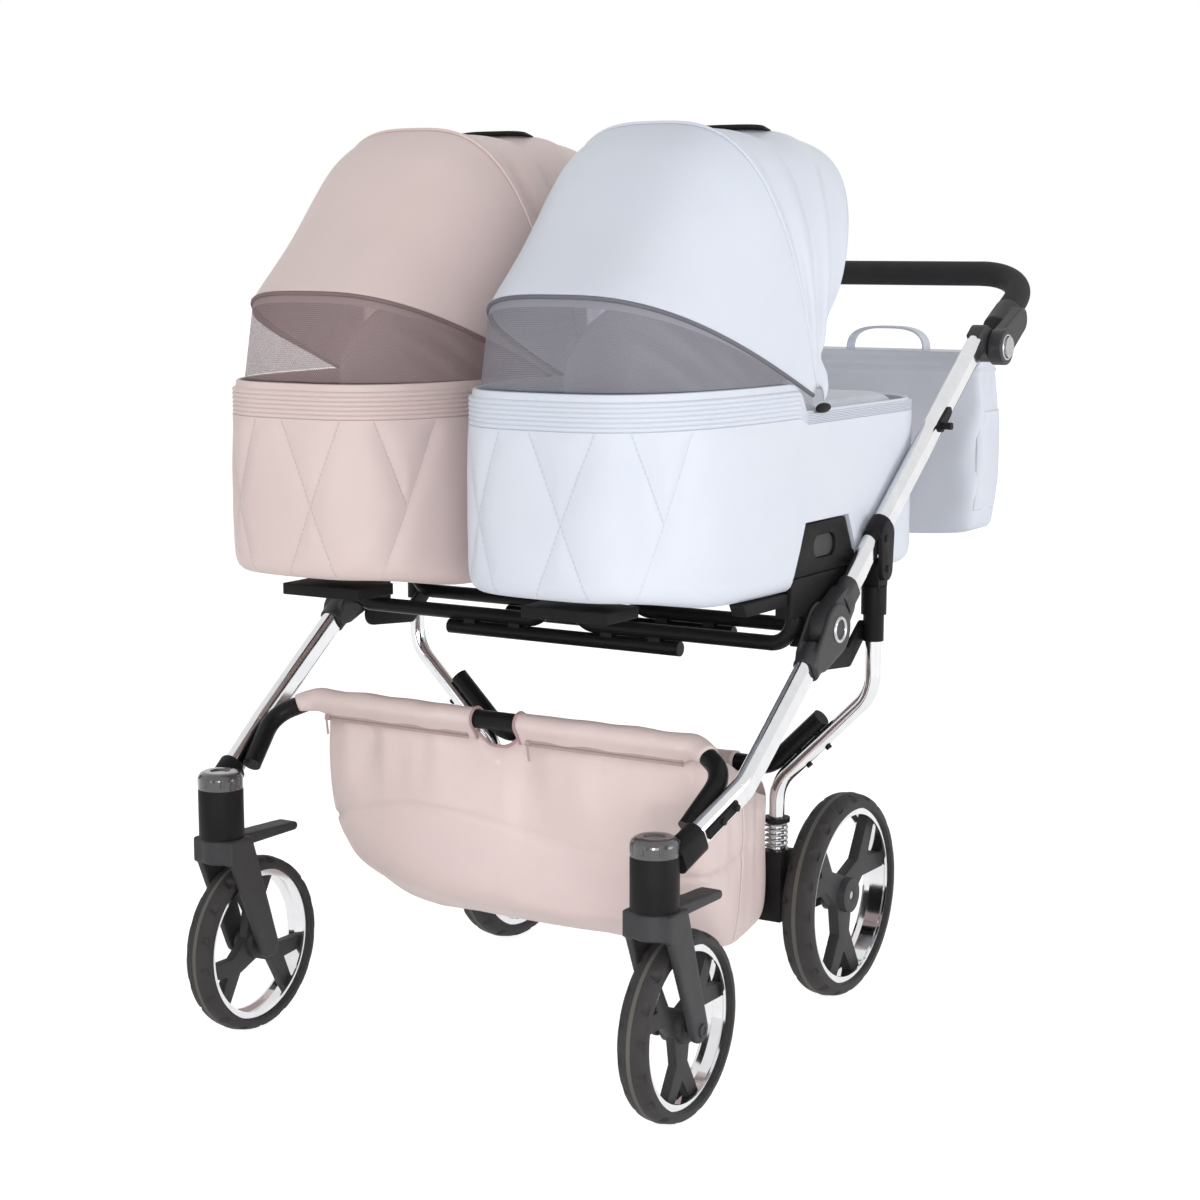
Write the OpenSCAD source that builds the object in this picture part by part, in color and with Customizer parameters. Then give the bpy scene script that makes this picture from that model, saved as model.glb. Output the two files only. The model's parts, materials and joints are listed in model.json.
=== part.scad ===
// Side-by-side twin pram: folding chrome frame, two carrycots with hoods, basket and changing bag.
// Millimetres. +Z is up, the pram rolls towards -Y, +X is the left hand of the person pushing it.
// Lengths named _y are measured backwards from the rear axle.

/* [Wheels] */
// Distance between the front and the rear axle
wheelbase = 557; // [530:1:590]
// Outer diameter of a front tyre
front_wheel_d = 238; // [220:1:250]
// Width of a front tyre
front_tyre_w = 36; // [30:1:40]
// Distance of a front wheel's middle inside its side frame
front_wheel_inset = 44; // [36:1:52]
// Outer diameter of a rear tyre
rear_wheel_d = 290; // [276:1:300]
// Width of a rear tyre
rear_tyre_w = 44; // [36:1:48]
// Distance of a rear wheel's middle inside its side frame
rear_wheel_inset = 100; // [94:1:104]
// Share of a wheel's radius that the chrome rim reaches to
rim_share = 0.86; // [0.8:0.01:0.9]
// Radius of the wheel axles
axle_r = 6; // [5:0.5:8]
// Radial running clearance of every shaft in its bore
running_fit = 0.06; // [0.03:0.01:0.1]

/* [Castors] */
// Distance of the front axle behind its steering axis
castor_trail = 57; // [45:1:65]
// Radius of the castor housing
head_r = 30; // [26:1:34]
// Height of the castor housing above the top of its wheel
head_rise = 41; // [36:1:48]
// Length of the castor housing
head_h = 66; // [60:1:75]
// Height of the ribbed cap on the housing
head_cap_h = 23; // [16:1:28]
// Radius of the steering stem
stem_r = 9; // [7:0.5:11]
// Thickness of one fork blade
blade_t = 11; // [8:1:14]
// Gap between a tyre and a fork blade
blade_gap = 5; // [3:0.5:8]
// Length of the swivel lock lever behind the steering axis
lever_reach = 142; // [125:1:150]

/* [Frame] */
// Distance from a carrycot's flank out to the middle of the side frame
frame_clear = 14; // [13:0.5:24]
// Height of the main fold pivot
fold_z = 570; // [560:1:580]
// Main fold pivot behind the rear axle (negative is in front)
fold_y = -254; // [-262:1:-246]
// Slope of the leg and pusher tubes
frame_slope = 36.8; // [35:0.1:38]
// Depth of the oval frame tube
tube_deep = 36; // [30:1:38]
// Width of the oval frame tube
tube_wide = 21; // [18:1:22]
// Length of each pusher tube above the fold pivot
pusher_len = 575; // [550:1:600]
// Height above the castor housing's lower end at which the front leg bends in
leg_bend_rise = 125; // [118:1:132]
// Diameter of a rear leg
rear_leg_d = 22; // [18:1:24]
// Rear legs behind the rear axle (negative is in front)
rear_leg_y = -112; // [-118:1:-106]
// Height of the rear leg pivot
rear_pivot_z = 548; // [544:1:552]
// Distance of a rear leg's lower end inside its side frame
rear_foot_inset = 144; // [140:1:150]
// Travel of the rear suspension
suspension_travel = 12; // [6:1:16]

/* [Handle] */
// Handle pivot beyond the pusher tube's end, along the tube
handle_ahead = 30; // [27:0.5:33]
// Handle pivot below the pusher tube's middle line
handle_drop = 26.5; // [24:0.5:28]
// Distance from the handle pivot to the grip bar
handle_reach = 215; // [190:1:230]
// Slope of the handle at rest
handle_slope = 28; // [24:1:32]
// Diameter of the grip
grip_d = 37; // [30:1:40]
// Distance of the handle's arms inside the side frames
grip_inset = 6; // [2:1:12]
// Bend radius of the grip's corners
grip_bend_r = 85; // [60:1:110]
// Diameter of the round button on the handle pivot
button_d = 30; // [24:1:34]
// Travel of the handle and cot buttons
button_travel = 3; // [2:0.5:4]

/* [Carrycots] */
// Gap between the two carrycots
cot_gap = 16; // [12:1:20]
// Width of a carrycot
cot_w = 356; // [344:1:358]
// Height of a carrycot's underside
cot_z = 622; // [618:1:628]
// Height of a carrycot's side walls
cot_h = 228; // [215:1:235]
// Extra height of the rim round the head end
cot_collar_h = 16; // [10:1:20]
// Thickness of a carrycot's padded wall
cot_wall = 12; // [10:1:14]
// Rear end of the carrycots behind the rear axle
cot_rear_y = 110; // [90:1:130]
// Corner radius of a carrycot's foot end
cot_corner_r = 110; // [80:1:140]
// Roundness of the head end, 2 is an ellipse and more is squarer
cot_round = 3.2; // [2.6:0.1:3.4]
// Thickness of the foot cover
apron_t = 14; // [10:1:18]

/* [Hoods] */
// Hood pivot behind the rear axle (negative is in front)
hood_y = -250; // [-258:1:-244]
// Radius of the hood's front panel
hood_r = 378; // [360:1:384]
// Thickness of a hood panel
hood_t = 3; // [2:0.5:4]
// Roundness of the hood's bows, 2 is an ellipse and more is squarer
hood_round = 2.7; // [2.4:0.1:3]
// Step from the front panel down to the rear panel tucked under it
hood_step = 14; // [12:1:18]
// Angle of the visor edge above the horizontal
visor_angle = 21; // [18:1:25]
// Angle of the seam between front and rear panel
seam_angle = 71; // [66:1:74]
// Angle of the hood's rear edge
hood_rear_angle = 117; // [110:1:122]

/* [Carrier] */
// Diameter of the tubes that carry the cots
carrier_d = 20; // [16:1:22]
// Height of the carrier tubes' middle
carrier_z = 552; // [548:1:556]
// Front carrier tube behind the rear axle (negative is in front)
carrier_front_y = -296; // [-302:1:-290]
// Rear carrier tube behind the rear axle (negative is in front)
carrier_rear_y = -150; // [-156:1:-144]
// Half the length of the straight joining tubes
joiner_half = 185; // [170:1:200]

/* [Basket and bag] */
// Diameter of the basket's hoop tubes
hoop_d = 25; // [20:1:26]
// Front rim tube behind the rear axle (negative is in front)
hoop_y = -450; // [-456:1:-444]
// Height of the front rim tube above the front leg's bend
hoop_rise = 38; // [32:1:44]
// Height of the rear rim tube
rear_hoop_z = 345; // [340:1:350]
// Height of the basket's floor above the ground
basket_floor_z = 150; // [140:1:165]
// Thickness of the basket's cloth
basket_t = 4; // [3:0.5:6]
// Width of the changing bag
bag_w = 360; // [330:5:380]
// Depth of the changing bag
bag_depth = 112; // [90:1:125]
// Height of the changing bag
bag_h = 273; // [250:1:285]
// Underside of the changing bag above the ground
bag_z = 612; // [605:1:625]
// Front of the changing bag behind the rear axle
bag_y = 455; // [450:1:465]
// Middle of the changing bag to the left of the middle plane
bag_x = 110; // [90:1:120]
// Radius of the accessory pegs
peg_r = 5; // [4:0.5:6]
// Free length of the accessory pegs
peg_len = 14; // [10:1:18]

/* [Springs] */
// Turns of a suspension spring
spring_turns = 5; // [4:1:7]
// Diameter of the spring wire
spring_wire = 3.2; // [2.4:0.1:3.6]
// Mean radius of a suspension spring
spring_r = 15.5; // [14.5:0.5:17]
// Height of a suspension spring at rest
spring_h = 40; // [36:1:46]

/* [Hidden] */
$fn = 64;

// Clearances and small sizes that several pieces share
bend_lap = 1.5;
bend_swell = 0.3;
side_gap = 0.3;
seat_gap = 0.3;
slim = 0.4;
left = 1;
right = -1;
sides = [left, right];

// The origin lies under the middle of the pram's length
front_reach = wheelbase + front_wheel_d / 2;
rear_reach = bag_y + bag_depth;
rear_axle_y = (front_reach - rear_reach) / 2;
function back(y) = rear_axle_y + y;

// Widths, from the cots outwards
cot_pitch = cot_w + cot_gap;
frame_x = cot_pitch / 2 + cot_w / 2 + frame_clear;
grip_x = frame_x - grip_inset;
rear_foot_x = frame_x - rear_foot_inset;

// Axles
rear_axle_z = rear_wheel_d / 2;
front_axle_z = front_wheel_d / 2;
rear_wheel_x = frame_x - rear_wheel_inset;
front_wheel_x = frame_x - front_wheel_inset;
front_axle_y = back(-wheelbase);
head_y = front_axle_y - castor_trail;
head_z = front_wheel_d + head_rise;
leg_bend_z = head_z + leg_bend_rise;
hoop_z = leg_bend_z + hoop_rise;

// Side frame points, as [y, z]
fold_at = [back(fold_y), fold_z];
rear_pivot_at = [back(rear_leg_y), rear_pivot_z];
tube_in = frame_x - tube_wide / 2;
tube_out = frame_x + tube_wide / 2;
uphill = [cos(frame_slope), sin(frame_slope)];
function on_frame(s) = fold_at + s * uphill;
handle_at = on_frame(pusher_len + handle_ahead) + handle_drop * [uphill.y, -uphill.x];

// Fold joint
hub_r = 34;
hub_plate_t = 5;
knuckle_r = 30;
fold_pin_r = 8;
socket_start = 42;
socket_end = 78;
tube_start = 50;
socket_deep = tube_deep + 4;
hub_in = tube_in - side_gap - hub_plate_t - slim;
hub_out = tube_out + side_gap + hub_plate_t + 2;
knuckle_in = tube_in - slim;
knuckle_out = tube_out + slim;

// Front leg, as [x, y, z]
leg_bend_s = (fold_z - leg_bend_z) / sin(frame_slope);
leg_bend = [frame_x, on_frame(-leg_bend_s).x, leg_bend_z];
leg_top = [frame_x, on_frame(-tube_start).x, on_frame(-tube_start).y];
leg_foot = [front_wheel_x + 18, head_y + 17, head_z + 59];
leg_bend_r = 70;
leg_deep_dir = [0, -sin(frame_slope), cos(frame_slope)];
head_socket_len = 44;

// Rear leg points, as [x, z]
rear_leg_x = frame_x - 2;
rear_leg_top_z = rear_pivot_z + 50;
rear_knee = [rear_leg_x, 462];
rear_ankle = [rear_foot_x, 322];
rear_foot_z = 168;
rear_top_pivot_z = rear_pivot_z + 84;
rear_collar_r = 17;

// Suspension and brake
housing_half = 17;
housing_top_z = 228;
housing_floor_z = 130;
spring_stop_z = housing_top_z + spring_h;
axle_tube_r = 9;
stub_end = rear_wheel_x + rear_tyre_w / 2 - 4;

// Handle
handle_dir = [cos(handle_slope), sin(handle_slope)];
knuckle_sleeve_start = 50;
knuckle_sleeve_end = 102;
knuckle_sleeve_d = grip_d + 5;
handle_hub_r = 26;
handle_hub_in = tube_out + slim + side_gap;
handle_hub_out = handle_hub_in + 21;
handle_pin_r = 8;
button_depth = 9;

// Carrycots
cot_x = cot_pitch / 2;
cot_half = cot_w / 2;
cot_floor = 12;
cot_top = cot_z + cot_h;
cot_collar_top = cot_top + cot_collar_h;
cot_mid_y = back(hood_y);
cot_front_len = hood_r + 17;
cot_rear_end = back(cot_rear_y);
apron_front = cot_mid_y + 40;

// Adapters between cots and carrier, measured from a cot's middle
adapter_out = cot_half - 3;
adapter_t = 25;
adapter_in = adapter_out - adapter_t;
adapter_front = back(carrier_front_y) - 26;
adapter_rear = back(carrier_rear_y) + 12;
adapter_split_z = cot_z + 18;
adapter_top = cot_z + 84;
adapter_base_z = carrier_z + 36;
pocket_gap = 2;
pocket_wall = 8;

// Hood
hood_z = cot_top + 12;
hood_half = cot_half - 4;
hood_pin_r = 10;
hood_hub_r = 24;
hood_eye_r = 28;
ear_r = 20;
hood_overlap = 3;
eye_t = 6;
eye_out = cot_half - 6 - side_gap;
rear_eye_out = eye_out - eye_t - side_gap;
rear_panel_r = hood_r - hood_step;
rear_panel_half = hood_half - 6;

// Carrier
saddle_half = cot_half - 14;
joiner_z = carrier_z - carrier_d - side_gap;
saddle_bend_r = 32;

// Basket
hoop_rim_half = frame_x - 78;
hoop_bend_r = 42;
hoop_knee = [leg_bend.x - (tube_wide + hoop_d) / 2 - 2, leg_bend.y - 4, leg_bend.z + 14];
hoop_toe = [leg_foot.x - 14, leg_foot.y + 52, leg_foot.z + 25];
rear_rim_half = rear_foot_x - 24;

unit_z = [0, 0, 1];
function unit(v) = v / norm(v);
function turn_between(u, v) = acos(min(1, max(-1, u * v)));
function flip(p, side) = [side * p.x, p.y, p.z];

// One quarter-rounded curve of a superellipse, from angle t
function pow_cos(t, n) = sign(cos(t)) * pow(abs(cos(t)), 2 / n);
function pow_sin(t, n) = pow(abs(sin(t)), 2 / n);

// Round bar between two points
module rod(p, q, d) {
    v = q - p;
    translate(p)
        rotate([0, acos(v.z / norm(v)), atan2(v.y, v.x)])
            cylinder(d = d, h = norm(v));
}

// Puts local axes on three world directions at a place
module placed(ex, ey, ez, at) {
    multmatrix([
        [ex.x, ey.x, ez.x, at.x],
        [ex.y, ey.y, ez.y, at.y],
        [ex.z, ey.z, ez.z, at.z],
        [0, 0, 0, 1]
    ]) children();
}

// The arc of a bend at b, between the runs a-b and b-c, swept by the outline drawn about its middle
module bend(a, b, c, bend_r) {
    u = unit(b - a);
    v = unit(c - b);
    turn = turn_between(u, v);
    middle = b + unit(v - u) * bend_r / cos(turn / 2);
    radial = unit(b - u * bend_r * tan(turn / 2) - middle);
    axis = unit(cross(u, v));
    placed(radial, cross(axis, radial), axis, middle)
        rotate_extrude(angle = turn, $fn = 96)
            translate([bend_r, 0])
                children();
}

// Round tube along points, with every corner bent to the same radius
module bent_tube(points, bend_r, d) {
    last = len(points) - 1;
    function corner(i) = turn_between(unit(points[i] - points[i - 1]), unit(points[i + 1] - points[i]));
    function setback(i) = i <= 0 || i >= last ? 0 : bend_r * tan(corner(i) / 2);
    function into(i) = i <= 0 || i >= last ? 0 : setback(i) - bend_lap;
    for (i = [0 : last - 1]) {
        u = unit(points[i + 1] - points[i]);
        rod(points[i] + u * into(i), points[i + 1] - u * into(i + 1), d);
    }
    for (i = [1 : last - 1])
        bend(points[i - 1], points[i], points[i + 1], bend_r)
            circle(d = d + bend_swell);
}

// Flat oval, wide along x and deep along y
module oval(wide, deep) {
    square([wide, deep - wide], center = true);
    for (end = [-1, 1])
        translate([0, end * (deep - wide) / 2])
            circle(d = wide);
}

// Straight oval bar from p to q with its deep side along deep_dir
module oval_bar(p, q, deep_dir, wide, deep) {
    along = unit(q - p);
    placed(cross(deep_dir, along), deep_dir, along, p)
        linear_extrude(norm(q - p))
            oval(wide, deep);
}

// Outline of a straight link with round ends
module link_outline(p, r1, q, r2) {
    d = norm(q - p);
    a = atan2(q.y - p.y, q.x - p.x);
    b = acos((r1 - r2) / d);
    translate(p) circle(r = r1);
    translate(q) circle(r = r2);
    polygon([
        p + r1 * [cos(a + b), sin(a + b)],
        p + r1 * [cos(a - b), sin(a - b)],
        q + r2 * [cos(a - b), sin(a - b)],
        q + r2 * [cos(a + b), sin(a + b)]
    ]);
}

// Side view outline, drawn in [y, z], given a thickness from x1 to x2 on one side of the pram
module side_plate(side, x1, x2) {
    low = min(side * x1, side * x2);
    translate([low, 0, 0])
        rotate([90, 0, 90])
            linear_extrude(abs(x2 - x1))
                children();
}

// Pin along X at a side view point
module cross_pin(side, at, r, x1, x2) {
    low = min(side * x1, side * x2);
    translate([low, at.x, at.y])
        rotate([0, 90, 0])
            cylinder(r = r, h = abs(x2 - x1));
}

// Oval sleeve round the frame line, from s1 to s2 along it, between x1 and x2
module frame_sleeve(side, s1, s2, deep, x1, x2) {
    p = on_frame(s1);
    translate([side * (x1 + x2) / 2, p.x, p.y])
        rotate([frame_slope - 90, 0, 0])
            linear_extrude(s2 - s1)
                oval(x2 - x1, deep);
}

// Direction that a bend gives to the deep side of an oval tube
function deep_after(a, b, c, deep_dir) =
    let (u = unit(b - a), v = unit(c - b), axis = unit(cross(u, v)))
    (deep_dir * axis) * axis + (deep_dir * cross(u, axis)) * cross(v, axis);

module leg_run(side, wide, deep) {
    a = flip(leg_top, side);
    b = flip(leg_bend, side);
    c = flip(leg_foot, side);
    u = unit(b - a);
    v = unit(c - b);
    setback = leg_bend_r * tan(turn_between(u, v) / 2);
    axis = unit(cross(u, v));
    tilt = atan2(leg_deep_dir * axis, leg_deep_dir * cross(u, axis));
    oval_bar(a, b - u * (setback - bend_lap), leg_deep_dir, wide, deep);
    bend(a, b, c, leg_bend_r)
        rotate(tilt - 90)
            oval(wide + bend_swell, deep + bend_swell);
    oval_bar(b + v * (setback - bend_lap), c, deep_after(a, b, c, leg_deep_dir), wide, deep);
}

module front_legs() {
    color("gainsboro")
        for (side = sides)
            difference() {
                leg_run(side, tube_wide, tube_deep);
                translate([side * front_wheel_x, head_y, head_z - 1])
                    cylinder(r = head_r, h = head_h + head_cap_h + 2);
            }
}

// Castor housing with the bore for the stem and the socket that the leg is pressed into
module head_tubes() {
    color("dimgray")
        for (side = sides) {
            foot = flip(leg_foot, side);
            up_leg = unit(flip(leg_bend, side) - foot);
            deep_dir = deep_after(flip(leg_top, side), flip(leg_bend, side), foot, leg_deep_dir);
            difference() {
                union() {
                    translate([side * front_wheel_x, head_y, head_z])
                        cylinder(r = head_r, h = head_h);
                    oval_bar(foot, foot + up_leg * head_socket_len, deep_dir, tube_wide + 9, tube_deep + 8);
                }
                difference() {
                    oval_bar(foot, foot + up_leg * (head_socket_len + 1), deep_dir, tube_wide, tube_deep);
                    translate([side * front_wheel_x, head_y, head_z])
                        cylinder(r = head_r, h = head_h);
                }
                translate([side * front_wheel_x, head_y, head_z - 1])
                    cylinder(r = stem_r + running_fit, h = head_h - 9);
                translate([side * front_wheel_x, head_y, head_z + head_h])
                    cylinder(r = head_r + seat_gap, h = 2 * head_cap_h);
            }
        }
}

module head_caps() {
    rib_count = 8;
    rib_r = 3;
    dome = 10;
    color("slategray")
        for (side = sides)
            translate([side * front_wheel_x, head_y, head_z + head_h])
                difference() {
                    rotate_extrude()
                        polygon(concat(
                            [[0, 0], [head_r, 0]],
                            [for (t = [0 : 15 : 90])
                                [head_r - dome + dome * cos(t), head_cap_h - dome + dome * sin(t)]],
                            [[head_r * 0.45, head_cap_h], [head_r * 0.4, head_cap_h - 2], [0, head_cap_h - 2]]
                        ));
                    for (i = [0 : rib_count - 1])
                        rotate(i * 360 / rib_count)
                            translate([head_r + 1.5, 0, 5])
                                cylinder(r = rib_r, h = head_cap_h);
                }
}

// Leg half of the fold joint: two cheeks, the pin between them and the socket on the leg
module fold_hubs() {
    socket_at = on_frame(-socket_start - 8);
    color("darkslategray")
        for (side = sides) {
            for (cheek = [[hub_in, tube_in - slim - side_gap], [tube_out + slim + side_gap, hub_out]])
                side_plate(side, cheek[0], cheek[1])
                    link_outline(fold_at, hub_r, socket_at, socket_deep / 2);
            cross_pin(side, fold_at, fold_pin_r, hub_in, hub_out);
            difference() {
                frame_sleeve(side, -socket_end, -socket_start, socket_deep, hub_in, hub_out);
                frame_sleeve(side, -socket_end - 1, -tube_start, tube_deep, tube_in, tube_out);
            }
        }
}

// Pusher half of the fold joint: the tongue between the cheeks and the socket on the pusher tube
module fold_knuckles() {
    color("dimgray")
        for (side = sides) {
            difference() {
                union() {
                    side_plate(side, knuckle_in, knuckle_out)
                        link_outline(fold_at, knuckle_r, on_frame(socket_start + 6), tube_wide);
                    frame_sleeve(side, socket_start, socket_end, socket_deep, tube_in - 1.2, tube_out + 3);
                }
                cross_pin(side, fold_at, fold_pin_r + running_fit, hub_in, hub_out);
                frame_sleeve(side, tube_start, socket_end + 1, tube_deep, tube_in, tube_out);
            }
        }
}

module pusher_tubes() {
    color("gainsboro")
        for (side = sides)
            frame_sleeve(side, tube_start, pusher_len, tube_deep, tube_in, tube_out);
}

// Cap on a pusher tube's top end with the handle's pivot pin
module pusher_caps() {
    cap_at = on_frame(pusher_len + tube_deep / 2);
    color("dimgray")
        for (side = sides) {
            side_plate(side, tube_in, tube_out)
                difference() {
                    union() {
                        link_outline(cap_at, tube_deep / 2, handle_at, 22);
                        polygon([
                            on_frame(pusher_len) + tube_deep / 2 * [-uphill.y, uphill.x],
                            on_frame(pusher_len) - tube_deep / 2 * [-uphill.y, uphill.x],
                            cap_at - tube_deep / 2 * [-uphill.y, uphill.x],
                            cap_at + tube_deep / 2 * [-uphill.y, uphill.x]
                        ]);
                    }
                    polygon([
                        on_frame(pusher_len) + 60 * [-uphill.y, uphill.x],
                        on_frame(pusher_len) - 60 * [-uphill.y, uphill.x],
                        on_frame(pusher_len - 60) - 60 * [-uphill.y, uphill.x],
                        on_frame(pusher_len - 60) + 60 * [-uphill.y, uphill.x]
                    ]);
                }
            cross_pin(side, handle_at, handle_pin_r, tube_out, handle_hub_out - button_depth - 3);
        }
}

// Clamp on each pusher tube with the arm that catches the rear leg's top
module upper_brackets() {
    clamp_s = 178;
    clamp_half = 17;
    arm_in = tube_out + slim + side_gap;
    arm_out = arm_in + 6;
    catch_at = [back(rear_leg_y), rear_top_pivot_z];
    color("dimgray")
        for (side = sides) {
            difference() {
                frame_sleeve(side, clamp_s - clamp_half, clamp_s + clamp_half, tube_deep + 8,
                    tube_in - 1.2, arm_out);
                frame_sleeve(side, clamp_s - clamp_half - 1, clamp_s + clamp_half + 1, tube_deep,
                    tube_in, tube_out);
            }
            side_plate(side, arm_in, arm_out)
                link_outline(on_frame(clamp_s), 19, catch_at, 16);
            for (rivet = [on_frame(clamp_s - 6), catch_at])
                cross_pin(side, rivet, 5, arm_out, arm_out + 2);
        }
}

module accessory_pegs() {
    peg_at = on_frame(400);
    color("black")
        for (side = sides) {
            side_plate(side, tube_out, tube_out + 3)
                link_outline(peg_at, 9, on_frame(430), 7);
            cross_pin(side, peg_at, peg_r, tube_out + 3, tube_out + 3 + peg_len);
        }
}

// Grip bar, a wide U in the plane of the handle
module handle_grip() {
    function arm(side, s) = [side * grip_x, handle_at.x + s * handle_dir.x, handle_at.y + s * handle_dir.y];
    start = knuckle_sleeve_end;
    color("black")
        bent_tube([arm(left, start), arm(left, handle_reach), arm(right, handle_reach), arm(right, start)],
            grip_bend_r, grip_d);
}

module handle_knuckles() {
    sleeve_x = grip_x + 2;
    color("dimgray")
        for (side = sides)
            difference() {
                union() {
                    cross_pin(side, handle_at, handle_hub_r, handle_hub_in, handle_hub_out);
                    side_plate(side, handle_hub_in, handle_hub_out - 5)
                        link_outline(handle_at, handle_hub_r - 2, handle_at + 78 * handle_dir, 18);
                    rod([side * sleeve_x, handle_at.x + knuckle_sleeve_start * handle_dir.x,
                            handle_at.y + knuckle_sleeve_start * handle_dir.y],
                        [side * sleeve_x, handle_at.x + knuckle_sleeve_end * handle_dir.x,
                            handle_at.y + knuckle_sleeve_end * handle_dir.y],
                        knuckle_sleeve_d);
                }
                cross_pin(side, handle_at, handle_pin_r + running_fit, handle_hub_in - 1,
                    handle_hub_out - button_depth - 2);
                cross_pin(side, handle_at, button_d / 2 + running_fit, handle_hub_out - button_depth,
                    handle_hub_out + 1);
            }
}

// Round button, standing a little out of the handle's pivot
module handle_button(side) {
    color("silver")
        cross_pin(side, handle_at, button_d / 2, handle_hub_out - button_depth + button_travel + 1,
            handle_hub_out + button_travel + 1);
}
module handle_button_left() { handle_button(left); }
module handle_button_right() { handle_button(right); }

// Links that carry the rear legs' pivot from the fold joint
module rear_leg_links() {
    link_t = 7;
    knee = rear_pivot_at + [-42, -32];
    heel = fold_at + [10, -42];
    pin_end = rear_leg_x - rear_leg_d / 2;
    color("gray")
        for (side = sides) {
            side_plate(side, hub_in - link_t, hub_in) {
                link_outline(rear_pivot_at, 12, knee, 13);
                link_outline(knee, 13, heel, 17);
            }
            cross_pin(side, rear_pivot_at, 5, hub_in, pin_end - side_gap);
        }
}

function rear_point(side, p) = [side * p.x, back(rear_leg_y), p.y];

module rear_legs() {
    color("gainsboro")
        for (side = sides) {
            run = [
                rear_point(side, [rear_leg_x, rear_leg_top_z]),
                rear_point(side, rear_knee),
                rear_point(side, rear_ankle),
                rear_point(side, [rear_foot_x, rear_foot_z])
            ];
            bent_tube(run, 58, rear_leg_d);
        }
}

// Collar and top knuckle of each rear leg, its pivot sleeve and the stop for its spring
module rear_leg_fittings() {
    pivot_r = rear_leg_x - hub_in - side_gap;
    color("dimgray")
        for (side = sides) {
            difference() {
                union() {
                    translate(rear_point(side, [rear_leg_x, rear_pivot_z + 22]))
                        cylinder(r = rear_collar_r, h = 38);
                    side_plate(side, rear_leg_x - 11, tube_out + slim)
                        link_outline([back(rear_leg_y), rear_top_pivot_z], 14,
                            [back(rear_leg_y), rear_leg_top_z + 14], 14);
                    translate(rear_point(side, [rear_leg_x, rear_pivot_z - 14]))
                        cylinder(r = pivot_r, h = 40);
                }
                translate(rear_point(side, [rear_leg_x, rear_pivot_z - 20]))
                    cylinder(d = rear_leg_d, h = rear_leg_top_z - rear_pivot_z + 20);
                cross_pin(side, rear_pivot_at, 5 + running_fit, hub_in - 1, rear_leg_x);
            }
            difference() {
                translate(rear_point(side, [rear_foot_x, spring_stop_z + seat_gap]))
                    cylinder(r = spring_r + 3, h = 6);
                translate(rear_point(side, [rear_foot_x, spring_stop_z - 1]))
                    cylinder(d = rear_leg_d, h = 10);
            }
        }
}

// Tube under the basket's rear rim, clamped along both rear legs
module basket_rear_hoop() {
    shin = unit(rear_ankle - rear_knee);
    aside = (rear_leg_d + hoop_d) / 2 + slim;
    off = aside * [shin.y, -shin.x];
    end = rear_knee + 82 * shin + off;
    low = rear_ankle + off;
    corner = low + shin * ((rear_hoop_z - low.y) / shin.y);
    color("black") {
        bent_tube([rear_point(left, end), rear_point(left, corner), rear_point(right, corner),
            rear_point(right, end)], 40, hoop_d);
        for (side = sides)
            for (s = [102, 142]) {
                at = rear_knee + s * shin;
                difference() {
                    rod(rear_point(side, at + off), rear_point(side, at - off * 0.62), 9);
                    rod(rear_point(side, at - 20 * shin), rear_point(side, at + 20 * shin), rear_leg_d);
                }
            }
    }
}

// Bent tube that carries the basket's front rim
module basket_hoop() {
    rim = [hoop_rim_half, back(hoop_y), hoop_z];
    color("black")
        bent_tube([hoop_toe, hoop_knee, rim, flip(rim, right), flip(hoop_knee, right), flip(hoop_toe, right)],
            hoop_bend_r, hoop_d);
}

// Plates and bolts that clamp the basket's front tube to the legs
module hoop_clamps() {
    color("black")
        for (side = sides) {
            foot = flip(leg_foot, side);
            up_leg = unit(flip(leg_bend, side) - foot);
            deep_dir = deep_after(flip(leg_top, side), flip(leg_bend, side), foot, leg_deep_dir);
            out = side * cross(deep_dir, up_leg) * sign(cross(deep_dir, up_leg).x);
            mid = foot + up_leg * 82 + out * (tube_wide / 2 + 1.5);
            oval_bar(mid - up_leg * 30, mid + up_leg * 30, deep_dir, 3, 14);
            for (share = [0.3, 0.62]) {
                on_hoop = flip(hoop_toe + share * (hoop_knee - hoop_toe), side);
                on_leg = foot + up_leg * ((on_hoop - foot) * up_leg);
                rod(on_leg + out * tube_wide / 2, on_leg + out * (tube_wide / 2 + 6), 9);
                difference() {
                    rod(on_hoop, on_leg, 9);
                    rod(flip(hoop_toe, side), flip(hoop_knee, side), hoop_d);
                    oval_bar(foot, flip(leg_bend, side), deep_dir, tube_wide, tube_deep);
                }
            }
        }
}

// U tubes under each cot and the straight tubes that join the two carriers
module saddle_tubes() {
    color("black")
        for (side = sides)
            for (y = [back(carrier_front_y), back(carrier_rear_y)])
                bent_tube([
                    [side * (cot_x + saddle_half), y, adapter_base_z],
                    [side * (cot_x + saddle_half), y, carrier_z],
                    [side * (cot_x - saddle_half), y, carrier_z],
                    [side * (cot_x - saddle_half), y, adapter_base_z]
                ], saddle_bend_r, carrier_d);
}

module joining_tubes() {
    color("black")
        for (y = [back(carrier_front_y), back(carrier_rear_y)]) {
            rod([-joiner_half, y, joiner_z], [joiner_half, y, joiner_z], carrier_d);
            for (x = [-0.8, -0.4, 0.4, 0.8])
                difference() {
                    translate([x * joiner_half, y, (carrier_z + joiner_z) / 2])
                        cube([18, carrier_d - 6, carrier_d - 6], center = true);
                    rod([-2 * joiner_half, y, carrier_z], [2 * joiner_half, y, carrier_z], carrier_d);
                }
        }
}

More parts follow.
